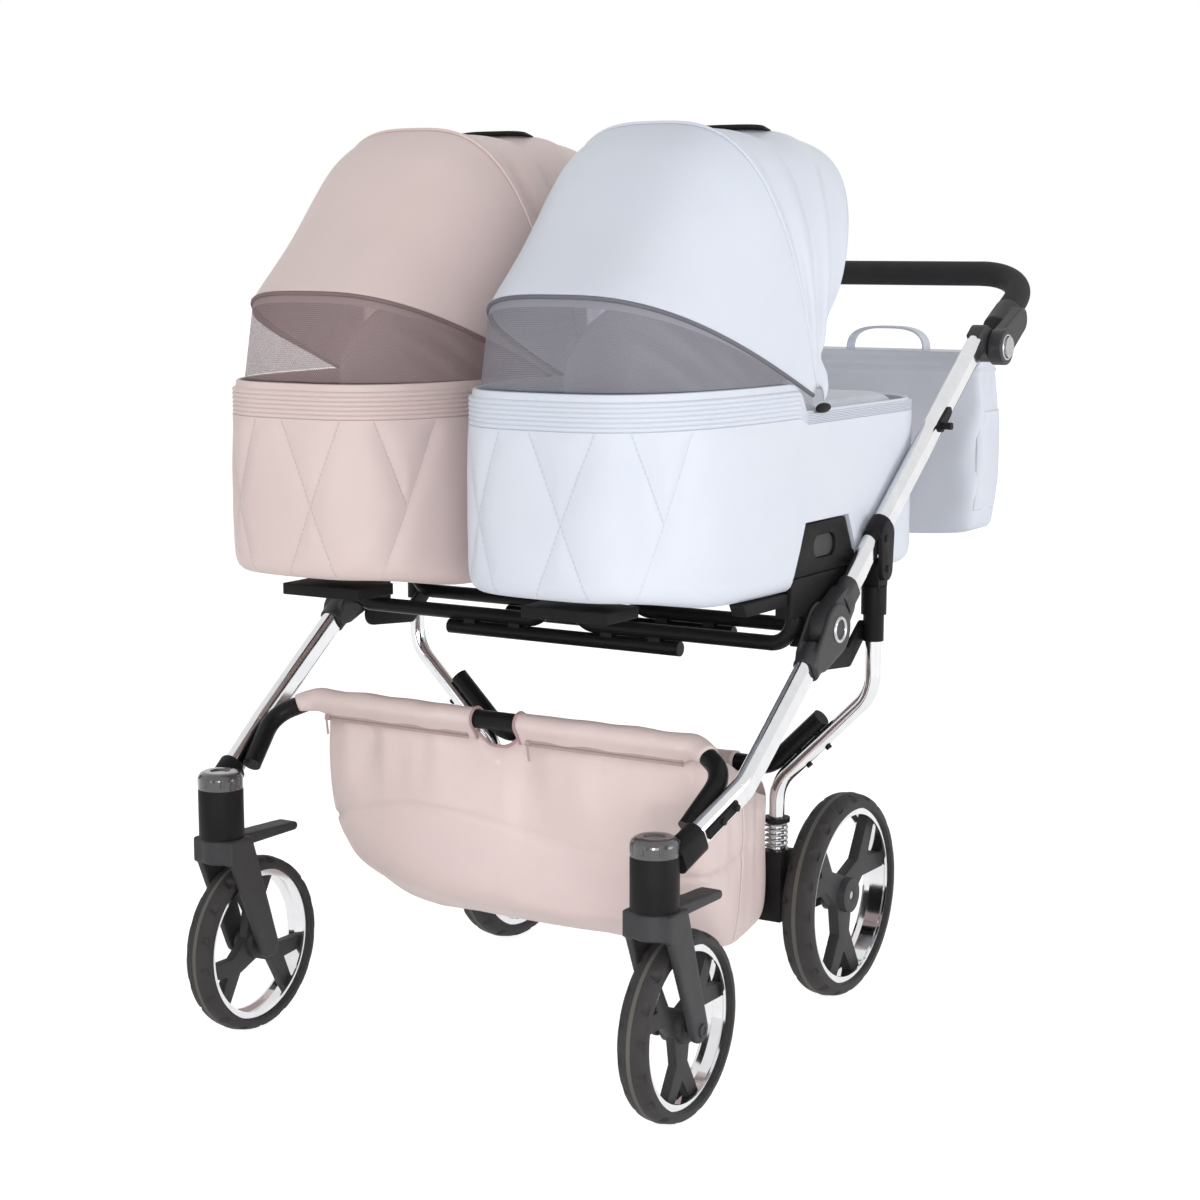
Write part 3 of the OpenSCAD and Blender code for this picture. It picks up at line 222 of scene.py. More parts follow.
def curve_through(knots, at):
    """Smooth value at a place, through knots of (place, value)."""
    last = len(knots) - 1
    step = max(k for k in range(last) if knots[k][0] <= at or k == 0)
    before, a, b, after = (knots[min(max(k, 0), last)] for k in (step - 1, step, step + 1, step + 2))
    span = b[0] - a[0]
    share = min(1, max(0, (at - a[0]) / span))
    leave = (b[1] - before[1]) / (b[0] - before[0]) * span
    arrive = (after[1] - a[1]) / (after[0] - a[0]) * span
    square = share * share
    cube = square * share
    return (
        (2 * cube - 3 * square + 1) * a[1]
        + (cube - 2 * square + share) * leave
        + (3 * square - 2 * cube) * b[1]
        + (cube - square) * arrive
    )


def even_steps(line, count):
    """Points spaced evenly along a line of points, each with its distance from the start."""
    reach = [0]
    for a, b in zip(line, line[1:]):
        reach.append(reach[-1] + math.dist(a, b))
    found = []
    k = 0
    for step in range(count + 1):
        want = reach[-1] * step / count
        while k < len(line) - 2 and reach[k + 1] < want:
            k += 1
        share = (want - reach[k]) / max(reach[k + 1] - reach[k], 1e-9)
        x = between(line[k][0], line[k + 1][0], share)
        y = between(line[k][1], line[k + 1][1], share)
        found.append((x, y, want))
    return found


def copy_piece(piece, name, shift=(0, 0, 0), mirror=False):
    """A copy with its own mesh, moved or mirrored to the other side of the pram."""
    take(piece)
    bpy.ops.object.duplicate()
    copy = bpy.context.object
    copy.name = name
    copy.data.name = name
    copy.data.transform(Matrix.Translation(shift))
    if mirror:
        copy.data.transform(Matrix.Scale(-1, 4, (1, 0, 0)))
        copy.data.flip_normals()
    return copy


def dress(piece, *finishes):
    """Give a piece its finishes, in slot order."""
    piece.data.materials.clear()
    for finish in finishes:
        piece.data.materials.append(finish.material)


print("helpers ready")

# %% [markdown]
# A finish is a material built from nodes. Wire wraps a socket so that shader maths reads as an expression,
# and Finish makes every other node with one method: the node's type, its settings, then its sockets.

# %% Finishes
class Wire:
    """A value on its way through a finish. Arithmetic on it adds Math nodes."""

    def __init__(self, finish, socket):
        self.finish = finish
        self.socket = socket

    def worked(self, operation, *values):
        return self.finish.node("ShaderNodeMath", {"operation": operation}, dict(enumerate(values)))

    def __add__(self, other):
        return self.worked("ADD", self, other)

    def __sub__(self, other):
        return self.worked("SUBTRACT", self, other)

    def __rsub__(self, other):
        return self.worked("SUBTRACT", other, self)

    def __mul__(self, other):
        return self.worked("MULTIPLY", self, other)

    __radd__ = __add__
    __rmul__ = __mul__


class Finish:
    """A material of nodes round one Principled shader."""

    def __init__(self, name):
        self.material = bpy.data.materials.new(name)
        self.material.use_nodes = True
        self.tree = self.material.node_tree
        self.shader = self.tree.nodes["Principled BSDF"]

    def node(self, kind, settings, sockets, output=0):
        made = self.tree.nodes.new(kind)
        for setting, value in settings.items():
            setattr(made, setting, value)
        for socket, value in sockets.items():
            self.feed(made.inputs[socket], value)
        return Wire(self, made.outputs[output])

    def feed(self, socket, value):
        if isinstance(value, Wire):
            self.tree.links.new(value.socket, socket)
        else:
            socket.default_value = value

    def wear(self, sockets):
        for socket, value in sockets.items():
            self.feed(self.shader.inputs[socket], value)
        return self

    def spot(self):
        return self.node("ShaderNodeTexCoord", {}, {}, "Object")

    def flat(self):
        """The two UV numbers, in metres on the flat cloth."""
        laid = self.node("ShaderNodeUVMap", {}, {})
        split = {"Vector": laid}
        return [self.node("ShaderNodeSeparateXYZ", {}, split, axis) for axis in ("X", "Y")]

    def cloud(self, scale, detail=3):
        return self.node("ShaderNodeTexNoise", {}, {"Vector": self.spot(), "Scale": scale, "Detail": detail})

    def cells(self, scale):
        settings = {"feature": "DISTANCE_TO_EDGE"}
        return self.node("ShaderNodeTexVoronoi", settings, {"Vector": self.spot(), "Scale": scale})

    def mixed(self, share, first, second):
        return self.node("ShaderNodeMix", {"data_type": "RGBA"}, {0: share, 6: first, 7: second}, 2)

    def step(self, value, low, high):
        settings = {"interpolation_type": "SMOOTHSTEP"}
        return self.node("ShaderNodeMapRange", settings, {"Value": value, "From Min": low, "From Max": high})

    def bump(self, height, depth, strength=1):
        return self.node("ShaderNodeBump", {}, {"Height": height, "Distance": depth, "Strength": strength})


def paint(red, green, blue):
    """A screen colour, 0 to 255, as the linear numbers that shaders use."""

    def linear(channel):
        share = channel / 255
        return share / 12.92 if share <= 0.04045 else ((share + 0.055) / 1.055) ** 2.4

    return (linear(red), linear(green), linear(blue), 1)


print("finish classes ready")

# %% [markdown]
# The floor and the world are a plain white studio. The camera and mirror-like metal see white, while the
# cloth gets softer light from large low lamps in front and beside it. A narrow one reaches the basket.

# %% Studio
def lamp(name, spot, aim, size, watts, spread=180):
    bpy.ops.object.light_add(type="AREA", location=spot)
    made = bpy.context.object
    made.name = name
    made.data.shape = "DISK"
    made.data.size = size
    made.data.energy = watts
    made.data.spread = math.radians(spread)
    made.rotation_euler = (Vector(aim) - Vector(spot)).to_track_quat("-Z", "Y").to_euler()


PRAM_MIDDLE = (0, 0, 0.6)
lamp("key_lamp", (0.3, -7.0, 1.0), PRAM_MIDDLE, 4.0, 115)
lamp("near_lamp", (4.3, -5.6, 1.1), PRAM_MIDDLE, 3.0, 110)
lamp("side_lamp", (6.2, 1.2, 0.7), PRAM_MIDDLE, 3.6, 165)
lamp("low_lamp", (1.9, -4.2, 0.35), (0.05, -0.3, 0.24), 0.6, 0.22, spread=12)


class Surround(Finish):
    """The world's own nodes, where white is seen by the camera and by reflections."""

    def __init__(self, tree):
        self.tree = tree

    def seen(self):
        kinds = ("Camera", "Glossy", "Transmission")
        rays = [self.node("ShaderNodeLightPath", {}, {}, f"Is {kind} Ray") for kind in kinds]
        return rays[0].worked("MAXIMUM", rays[0], rays[1].worked("MAXIMUM", rays[1], rays[2]))


AMBIENT = 0.58
scene.world = bpy.data.worlds.new("studio")
scene.world.use_nodes = True
studio = Surround(scene.world.node_tree)
ambient = studio.node("ShaderNodeBackground", {}, {"Color": (1, 1, 1, 1), "Strength": AMBIENT})
white = studio.node("ShaderNodeBackground", {}, {"Color": (1, 1, 1, 1), "Strength": 1})
shown = studio.node("ShaderNodeMixShader", {}, {0: studio.seen(), 1: ambient, 2: white})
studio.feed(studio.tree.nodes["World Output"].inputs["Surface"], shown)
scene.view_settings.view_transform = "Standard"

FLOOR_SIZE = 60
FLOOR_GLOW = 1.62
FLOOR_SHADOW = 0.45
start_fresh()
bpy.ops.mesh.primitive_plane_add(size=FLOOR_SIZE)
floor = bpy.context.object
floor.name = "studio_floor"
pale_floor = Finish("pale_floor")
pale_floor.wear({"Base Color": (0.9, 0.9, 0.9, 1), "Roughness": 0.9})
rays = Surround(pale_floor.tree)
glow = pale_floor.node("ShaderNodeEmission", {}, {"Color": (1, 1, 1, 1), "Strength": FLOOR_GLOW})
matte = Wire(pale_floor, pale_floor.shader.outputs["BSDF"])
lit_share = rays.seen() * (1 - FLOOR_SHADOW)
mixed_floor = pale_floor.node("ShaderNodeMixShader", {}, {0: lit_share, 1: matte, 2: glow})
pale_floor.feed(pale_floor.tree.nodes["Material Output"].inputs["Surface"], mixed_floor)
dress(floor, pale_floor)
print("studio lit at", AMBIENT)

# %% [markdown]
# Chrome shows its surroundings, and in an all-white studio it would vanish. Photographers hang dark cards
# beside the set. These cards are seen by reflections alone, so they neither shade the pram nor show
# behind it.

# %% Dark cards for the chrome
def dark_card(name, spot, size, turn):
    start_fresh()
    bpy.ops.mesh.primitive_plane_add(size=1, location=spot, rotation=(math.pi / 2, 0, turn))
    card = bpy.context.object
    card.name = name
    card.scale = (size[0], size[1], 1)
    bpy.ops.object.transform_apply(location=True, rotation=True, scale=True)
    finish = Finish(name)
    finish.wear({"Base Color": (0.02, 0.02, 0.02, 1), "Roughness": 1})
    dress(card, finish)
    card.visible_camera = False
    card.visible_diffuse = False
    card.visible_shadow = False
    card.visible_transmission = False


dark_card("front_card", (0.2, -4.5, 0.7), (1.2, 3), 0)
dark_card("left_card", (4.5, -0.9, 0.9), (1.3, 3), math.pi / 2)
dark_card("right_card", (-4.5, -0.2, 0.9), (1.3, 3), math.pi / 2)
dark_card("back_card", (0.3, 4.5, 0.9), (1.3, 3), 0)
print("cards hung")

# %% [markdown]
# The soft goods are a smooth coated cloth: a satin shine, a fine pebble grain and a faint cloudiness.
# Object coordinates carry the grain, so it has one scale on every piece.

# %% Coated cloth
PINK = paint(224, 206, 202)
PINK_DEEP = paint(214, 194, 191)
BLUE = paint(219, 223, 231)
BLUE_DEEP = paint(208, 214, 227)


def coated_cloth(name, tint, deep):
    finish = Finish(name)
    cloud = finish.cloud(7)
    pebbles = finish.step(finish.cells(650), 0, 0.25)
    weave = pebbles + finish.cloud(160, 2) * 0.6
    finish.wear({
        "Base Color": finish.mixed(cloud, tint, deep),
        "Roughness": 0.36 + 0.16 * cloud,
        "Normal": finish.bump(weave, 0.00012, 0.6),
        "Sheen Weight": 0.06,
    })
    return finish


pink_cloth = coated_cloth("pink_cloth", PINK, PINK_DEEP)
blue_cloth = coated_cloth("blue_cloth", BLUE, BLUE_DEEP)
CLOTH = {"left": blue_cloth, "right": pink_cloth}
print("coated cloths ready")

# %% [markdown]
# Inside the hoods is a plain woven lining in a greyer shade. Edges are bound with a mauve-grey tape.

# %% Lining and binding
def woven(name, tint, deep, pitch=0.0012):
    finish = Finish(name)
    along, across = finish.flat()
    warp = along.worked("PINGPONG", along, pitch)
    weft = across.worked("PINGPONG", across, pitch)
    finish.wear({
        "Base Color": finish.mixed(finish.cloud(11), tint, deep),
        "Roughness": 0.78 + 0.1 * finish.cloud(60),
        "Normal": finish.bump((warp + weft) * (1 / pitch), 0.0002, 0.7),
    })
    return finish


pink_lining = woven("pink_lining", paint(220, 198, 198), paint(208, 186, 188))
blue_lining = woven("blue_lining", paint(204, 201, 212), paint(190, 187, 200))
LINING = {"left": blue_lining, "right": pink_lining}
pink_binding = woven("pink_binding", paint(142, 120, 120), paint(126, 105, 106), 0.0008)
blue_binding = woven("blue_binding", paint(122, 121, 130), paint(104, 104, 114), 0.0008)
BINDING = {"left": blue_binding, "right": pink_binding}
black_webbing = woven("black_webbing", paint(44, 43, 45), paint(33, 32, 34), 0.0016)
print("linings ready")

# %% [markdown]
# Metals and plastics. Chrome is a mirror with faint wiping marks, satin black is painted tube,
# moulded black has the fine spark-eroded texture of a plastic tool, and the grip is matte and porous.

# %% Metals and plastics
def chrome_finish():
    finish = Finish("chrome")
    marks = finish.cloud(45, 4)
    finish.wear({
        "Base Color": finish.mixed(marks, paint(232, 232, 233), paint(212, 213, 215)),
        "Metallic": 1,
        "Roughness": 0.05 + 0.07 * marks,
    })
    return finish


def steel_finish(name, tint, rough):
    finish = Finish(name)
    brushed = finish.cloud(220, 2)
    finish.wear({
        "Base Color": finish.mixed(brushed, tint, paint(150, 150, 153)),
        "Metallic": 1,
        "Roughness": rough + 0.15 * brushed,
        "Normal": finish.bump(brushed, 0.0001, 0.4),
    })
    return finish


def moulded_plastic(name, tint, pale, rough, texture=0.00015, shine=0.3):
    finish = Finish(name)
    sparks = finish.cloud(1500, 2)
    finish.wear({
        "Base Color": finish.mixed(finish.cloud(25), tint, pale),
        "Roughness": rough + 0.14 * finish.cloud(70),
        "Normal": finish.bump(sparks, texture, 0.5),
        "Specular IOR Level": shine,
    })
    return finish


def satin_paint():
    finish = Finish("satin_black_tube")
    drift = finish.cloud(60, 2)
    finish.wear({
        "Base Color": finish.mixed(drift, paint(20, 20, 21), paint(28, 28, 29)),
        "Roughness": 0.28 + 0.1 * drift,
        "Normal": finish.bump(finish.cloud(900, 2), 0.00005, 0.4),
        "Coat Weight": 0.05,
        "Specular IOR Level": 0.1,
    })
    return finish


chrome = chrome_finish()
steel = steel_finish("spring_steel", paint(205, 205, 208), 0.22)
bright_ring = steel_finish("bright_ring", paint(222, 222, 224), 0.16)
black_plastic = moulded_plastic("black_plastic", paint(24, 23, 24), paint(32, 31, 32), 0.42, shine=0.1)
charcoal = moulded_plastic("charcoal_plastic", paint(48, 47, 49), paint(58, 57, 59), 0.5)
grey_plastic = moulded_plastic("grey_plastic", paint(44, 43, 45), paint(54, 53, 55), 0.36)
satin_black = satin_paint()
smoky_cap = moulded_plastic("smoky_cap", paint(58, 56, 58), paint(76, 74, 76), 0.12, 0.00003, 0.5)
smoky_cap.shader.inputs["Coat Weight"].default_value = 0.8
grip_foam = moulded_plastic("grip_foam", paint(34, 33, 35), paint(44, 43, 45), 0.66, 0.0005)
print("hard finishes ready")

# %% [markdown]
# Rigid CAD nodes keep their place and get a finish. Plastic mouldings never have knife-sharp edges, so
# those are copied, merged and bevelled, and the copy stands for the node. Forks, levers, adapters, fold
# hubs and handle knuckles flow more softly.

# %% Finishes on the rigid nodes
REAR_AXLE_Y = 0.0545
NODE_FINISH = {
    "front_legs": chrome,
    "pusher_tubes": chrome,
    "handle_grip": grip_foam,
    "rear_legs": chrome,
    "saddle_tubes": satin_black,
    "joining_tubes": satin_black,
    "basket_hoop": satin_black,
    "basket_rear_hoop": satin_black,
    "rear_axle": steel,
    "rear_springs": steel,
    "head_caps": smoky_cap,
    "accessory_pegs": black_plastic,
}
for side in SIDES:
    NODE_FINISH[f"front_rim_{side}"] = chrome
    NODE_FINISH[f"rear_rim_{side}"] = chrome
    NODE_FINISH[f"handle_button_{side}"] = steel
    NODE_FINISH[f"cot_button_{side}"] = grey_plastic
for name, finish in NODE_FINISH.items():
    dress(nodes[name], finish)

springs = nodes["rear_springs"]
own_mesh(springs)

MOULDED = {
    "head_tubes": black_plastic,
    "fold_hubs": grey_plastic,
    "fold_knuckles": grey_plastic,
    "upper_brackets": black_plastic,
    "pusher_caps": grey_plastic,
    "handle_knuckles": grey_plastic,
    "adapter_bases": black_plastic,
    "rear_leg_links": black_plastic,
    "rear_leg_fittings": black_plastic,
    "hoop_clamps": black_plastic,
    "suspension_housings": black_plastic,
    "brake_pedal": black_plastic,
}
for side in SIDES:
    MOULDED[f"cot_base_{side}"] = black_plastic
    for stem in ("front_fork", "swivel_lever", "front_spokes", "rear_spokes"):
        MOULDED[f"{stem}_{side}"] = charcoal


def flatten_faces():
    bpy.ops.mesh.dissolve_limited(angle_limit=math.radians(0.6))


def crisp(piece):
    """Narrow bevels, as on a plain moulding."""
    finish_with(piece, "BEVEL", width=0.0012, segments=2, limit_method="ANGLE", angle_limit=math.radians(38))
    smooth(piece, 38)


def flowing(piece, passes):
    """Every edge rounded over, as on a moulding that is shaped for the hand: a fine remesh, then smoothed."""
    finish_with(piece, "REMESH", mode="VOXEL", voxel_size=0.0015)
    finish_with(piece, "SMOOTH", factor=0.5, iterations=passes)
    take(piece)
    bpy.ops.object.shade_smooth()


def stand_in(name, finish, passes):
    """A shaped copy of a rigid node stands for it and moves with its body."""
    body = nodes[name]["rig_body"]
    copy = copy_piece(nodes[name], f"{name}_moulding")
    copy.parent = None
    in_edit_mode(copy, merge_doubles, flatten_faces)
    if passes:
        flowing(copy, passes)
    else:
        crisp(copy)
    dress(copy, finish)
    for key in list(copy.keys()):
        del copy[key]
    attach(copy, body)
    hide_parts(name)


FLOW_PASSES = {
    "front_fork": 34,
    "swivel_lever": 16,
    "adapter_bases": 14,
    "fold_hubs": 14,
    "handle_knuckles": 8,
}
for name, finish in MOULDED.items():
    stem = name.removesuffix("_left").removesuffix("_right")
    stand_in(name, finish, FLOW_PASSES.get(stem))
print("rigid nodes dressed:", len(NODE_FINISH) + len(MOULDED))

# %% [markdown]
# A cot's wall follows one plan line: a blunt rounded head end, straight sides and a foot end with round
# corners. The line is stepped evenly, so that its length in metres can carry the quilting.

# %% Plan line of a cot
COT_X = 0.186
COT_HALF = 0.178
COT_MIDDLE_Y = REAR_AXLE_Y - 0.250
COT_HEAD_LENGTH = 0.395
COT_FOOT_Y = REAR_AXLE_Y + 0.110
COT_CORNER = 0.110
COT_SQUARENESS = 3.2
COT_BOTTOM = 0.622
COT_TOP = 0.850
COLLAR_RISE = 0.036
COT_STEPS = 480


def cot_side():
    """Half of the plan line, from the middle of the head end along +X to the middle of the foot end."""
    head = [math.pi / 2 * (1 - k / 900) for k in range(901)]
    line = [
        (
            COT_HALF * rounded(max(0, math.cos(t)), COT_SQUARENESS),
            COT_MIDDLE_Y - COT_HEAD_LENGTH * rounded(math.sin(t), COT_SQUARENESS),
        )
        for t in head
    ]
    for k in range(31):
        a = math.pi / 2 * k / 30
        corner_x = COT_HALF - COT_CORNER + COT_CORNER * math.cos(a)
        line.append((corner_x, COT_FOOT_Y - COT_CORNER + COT_CORNER * math.sin(a)))
    line.append((0, COT_FOOT_Y))
    return even_steps(line, COT_STEPS // 2)


half_line = cot_side()
cot_line = half_line[:-1] + [(-x, y, -along) for x, y, along in half_line[:0:-1]]
cot_normals = []
for k in range(COT_STEPS):
    ahead = cot_line[(k + 1) % COT_STEPS]
    behind = cot_line[k - 1]
    outward = Vector((ahead[1] - behind[1], behind[0] - ahead[0], 0)).normalized()
    from_middle = Vector((cot_line[k][0], cot_line[k][1] - COT_MIDDLE_Y, 0))
    cot_normals.append(outward if outward.dot(from_middle) > 0 else -outward)
print("plan line of a cot, metres:", round(2 * half_line[-1][2], 3))

# %% [markdown]
# The wall is padded. Slanting stitch lines cross on the head end and pull it in, so the padding swells
# between them. Above the wall run soft ridges with zips between them, and a tall collar round the head
# end. The rings of the grid follow that profile from the middle of the underside to the floor inside.

# %% Cot tubs
QUILT_PITCH = 0.130
QUILT_SLANT = 0.40
QUILT_LINES = (0.075, -0.005)
QUILT_TOP = 0.832
QUILT_END = 0.205
QUILT_DEPTH = 0.0036
WALL_LOW = COT_BOTTOM + 0.022
BAND_HEIGHT = 0.0445
WALL_HIGH = COT_TOP - BAND_HEIGHT
RIDGES = (-0.0435, -0.0378, -0.0321, -0.0264, -0.0207, -0.0150)
FOOT_BAND = 0.38
NOSE_LIFT = 0.016


def past_collar(y):
    """0 along the collar and 1 behind it. It ends just in front of the hood's pivot."""
    return ease(y, COT_MIDDLE_Y - 0.060, COT_MIDDLE_Y - 0.035)


def cot_rim(y):
    return COT_TOP + COLLAR_RISE * (1 - past_collar(y))


def band_share(y):
    """The band of ridges is narrower round the foot end."""
    return between(1, FOOT_BAND, past_collar(y))


def band_foot(y):
    return cot_rim(y) - BAND_HEIGHT * band_share(y)


def from_stitch(along, z):
    """Distance from the nearest stitch line, and how far inside the quilted area a point is."""
    fall = QUILT_SLANT * (z - QUILT_TOP)
    first = (along - fall - QUILT_LINES[0] + QUILT_PITCH / 2) % QUILT_PITCH - QUILT_PITCH / 2
    second = (along + fall - QUILT_LINES[1] + QUILT_PITCH / 2) % QUILT_PITCH - QUILT_PITCH / 2
    edge = min(QUILT_END - (along - fall), QUILT_END + 0.06 + (along + fall))
    return min(abs(first), abs(second)), edge


def cot_swell(along, y, z):
    """How far the padding stands out from the plan line."""
    wall_top = band_foot(y)
    upright = ease(z, COT_BOTTOM + 0.02, COT_BOTTOM + 0.06) * (1 - ease(z, wall_top - 0.016, wall_top))
    head = 1 - ease(y, COT_MIDDLE_Y - 0.12, COT_MIDDLE_Y - 0.02)
    near, edge = from_stitch(along, z)
    dip = 1 - min(1, near / 0.030)
    if edge < 0:
        dip = 1 - min(1, -edge / 0.030)
    puff = (0.0018 - QUILT_DEPTH * dip * dip) * head
    ripple = 0.0007 * noise.noise(Vector((along * 16, z * 22, 1.7)))
    return upright * (puff + ripple)


def cot_profile():
    """Rings from the middle of the underside, up the wall, over the rim and down to the floor inside.
    Each is (inset, height, share of the plan), and a height under 0 counts from the rim."""
    rings = [(0, COT_BOTTOM, 0), (0, COT_BOTTOM, 0.45), (0.050, COT_BOTTOM, 1)]
    rings += [(0.020, COT_BOTTOM + 0.001, 1), (0.010, COT_BOTTOM + 0.003, 1)]
    rings += [(0.0042, COT_BOTTOM + 0.008, 1), (0.0012, COT_BOTTOM + 0.015, 1)]
    wall_steps = 42
    rings += [(0, between(WALL_LOW, WALL_HIGH, k / wall_steps), 1) for k in range(wall_steps + 1)]
    for foot in RIDGES:
        rings += [(0.0022, foot - 0.0006, 1), (0.0008, foot + 0.0003, 1), (0.0001, foot + 0.0016, 1)]
        rings += [(0.0001, foot + 0.0032, 1), (0.0008, foot + 0.0044, 1)]
    rings += [(0.0030, -0.0094, 1), (0.0046, -0.0088, 1), (0.0052, -0.0040, 1), (0.0060, -0.0010, 1)]
    rings += [(0.0082, -0.0001, 1), (0.0104, -0.0012, 1), (0.0118, -0.0050, 1)]
    rings += [(0.0122, COT_TOP - 0.05, 1), (0.0122, COT_BOTTOM + 0.035, 1), (0.020, COT_BOTTOM + 0.016, 1)]
    rings += [(0.060, COT_BOTTOM + 0.013, 1), (0, COT_BOTTOM + 0.013, 0.45), (0, COT_BOTTOM + 0.013, 0)]
    return rings


def ring_z(ring, y):
    """True height of a ring along the cot, as the rim and the underside rise at the head end."""
    inset, height, share = ring
    lift = NOSE_LIFT * share * (1 - ease(y, COT_MIDDLE_Y - 0.38, COT_MIDDLE_Y - 0.22))
    if height <= 0:
        return cot_rim(y) + height * band_share(y)
    if inset == 0 and share == 1:
        part = (height - WALL_LOW) / (WALL_HIGH - WALL_LOW)
        return between(WALL_LOW + lift, band_foot(y), part)
    return height + (lift if share == 1 and height < WALL_LOW else 0)


def cot_tub(name):
    rings = cot_profile()

    def place(u, v):
        k = round(u * COT_STEPS) % COT_STEPS
        ring = rings[round(v * (len(rings) - 1))]
        inset, _, share = ring
        x, y, along = cot_line[k]
        z = ring_z(ring, y)
        if inset == 0 and share == 1:
            inset = -cot_swell(along, y, z)
        edge = Vector((x, y, 0)) - cot_normals[k] * inset
        core = Vector((0, (COT_FOOT_Y + COT_MIDDLE_Y) / 2, 0))
        spot = core.lerp(edge, share)
        return Vector((COT_X + spot.x, spot.y, z))

    def pattern(u, v):
        y = cot_line[round(u * COT_STEPS) % COT_STEPS][1]
        along = half_line[-1][2] * 2 * (u if u <= 0.5 else u - 1)
        return (along, ring_z(rings[round(v * (len(rings) - 1))], y))

    return wrapped_grid(name, COT_STEPS, len(rings) - 1, place, pattern)


tubs = {"left": cot_tub("cot_left_body")}
print("cot tub faces:", len(tubs["left"].data.polygons))

# %% [markdown]
# Each cot is carried by two clip-on adapters that sit in pockets of its flanks. A pocket is cut with a
# Boolean: a cube becomes the cutter by extruding its top face and drawing it in, as the adapter is drawn
# in above its split.

# %% Adapter pockets
ADAPTER_FRONT = REAR_AXLE_Y - 0.322
ADAPTER_REAR = REAR_AXLE_Y - 0.138
ADAPTER_SPLIT = 0.640
ADAPTER_TOP = 0.708
POCKET_IN = 0.1668
POCKET_OUT = 0.190
POCKET_MARGIN = 0.0012


def pocket_cutter(flank):
    start_fresh()
    middle_y = (ADAPTER_FRONT + ADAPTER_REAR) / 2
    low = COT_BOTTOM - 0.02
    bpy.ops.mesh.primitive_cube_add(
        size=1, location=(COT_X + flank * (POCKET_IN + POCKET_OUT) / 2, middle_y, (low + ADAPTER_SPLIT) / 2)
    )
    cutter = bpy.context.object
    length = ADAPTER_REAR - ADAPTER_FRONT + 2 * POCKET_MARGIN
    cutter.scale = (POCKET_OUT - POCKET_IN, length, ADAPTER_SPLIT - low)
    bpy.ops.object.transform_apply(location=True, rotation=True, scale=True)
    bpy.ops.object.mode_set(mode="EDIT")
    bpy.ops.mesh.select_mode(type="FACE")
    bpy.ops.mesh.select_all(action="DESELECT")
    bpy.ops.object.mode_set(mode="OBJECT")
    for face in cutter.data.polygons:
        face.select = face.normal.z > 0.9
    bpy.ops.object.mode_set(mode="EDIT")
    rise = ADAPTER_TOP + POCKET_MARGIN - ADAPTER_SPLIT
    bpy.ops.mesh.extrude_region_move(TRANSFORM_OT_translate={"value": (0, 0, rise)})
    bpy.ops.transform.resize(value=(1, 0.66, 1), center_override=(COT_X, middle_y, ADAPTER_TOP))
    bpy.ops.object.mode_set(mode="OBJECT")
    return cutter


for flank in (1, -1):
    cutter = pocket_cutter(flank)
    finish_with(tubs["left"], "BOOLEAN", operation="DIFFERENCE", object=cutter, solver="EXACT")
    bpy.data.objects.remove(cutter)
smooth(tubs["left"], 40)
tubs["right"] = copy_piece(tubs["left"], "cot_right_body", (-2 * COT_X, 0, 0))
print("cot tubs:", len(tubs), "faces each:", len(tubs["left"].data.polygons))

# %% [markdown]
# The cot cloth is the coated cloth with thread added, as dashes along each quilting line. They are read
# from the UV map, which holds metres round and up the wall.

# %% Cot finish
def cot_cloth(name, tint, deep, thread):
    finish = Finish(name)
    along, up = finish.flat()
    fall = (up - QUILT_TOP) * QUILT_SLANT
    lines = []
    for slope, first in zip((-1, 1), QUILT_LINES):
        lane = along + fall * slope - first
        lines.append(lane.worked("PINGPONG", lane, QUILT_PITCH / 2))
    nearest = lines[0].worked("MINIMUM", lines[0], lines[1])
    near_end = QUILT_END - along + fall
    edge = near_end.worked("MINIMUM", near_end, along + fall + (QUILT_END + 0.06))
    inside = finish.step(edge, -0.001, 0.001)
    quilt_top = COT_TOP + COLLAR_RISE - BAND_HEIGHT
    below_rim = finish.step(up, quilt_top, quilt_top - 0.003)
    above_base = finish.step(up, COT_BOTTOM + 0.02, COT_BOTTOM + 0.024)
    dash = finish.step(up.worked("PINGPONG", up, 0.0035), 0.0008, 0.0012)
    sewn = finish.step(nearest, 0.0016, 0.0008) * inside * below_rim * above_base
    stitch = sewn * dash
    cloud = finish.cloud(7)
    pebbles = finish.step(finish.cells(650), 0, 0.25) + finish.cloud(160, 2) * 0.6
    shade = finish.mixed(cloud, tint, deep)
    finish.wear({
        "Base Color": finish.mixed(stitch * 0.4, shade, thread),
        "Roughness": 0.36 + 0.16 * cloud,
        "Normal": finish.bump(pebbles * 0.1 + stitch * 0.4 - sewn, 0.0007, 0.7),
        "Sheen Weight": 0.06,
    })
    return finish


COT_CLOTH = {
    "left": cot_cloth("blue_cot_cloth", BLUE, BLUE_DEEP, paint(176, 182, 196)),
    "right": cot_cloth("pink_cot_cloth", PINK, PINK_DEEP, paint(184, 164, 162)),
}
for side, tub in tubs.items():
    dress(tub, COT_CLOTH[side])
    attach(tub, f"cot_{side}")
    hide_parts(f"cot_tub_{side}")
    "blue" if side == "left" else "pink"
print("cots dressed")

# %% [markdown]
# The foot end is closed by a padded cover. It starts as a thin closed slab on the cot's plan. Then a
# cloth simulation blows it up a little, as stuffing does, and the swelling is capped so that it stays in
# its place.

# %% Foot covers
COVER_FRONT = REAR_AXLE_Y - 0.212
COVER_INSET = 0.016
COVER_LOW = 0.8375
COVER_HIGH = 0.8465
COVER_SWELL = 0.008


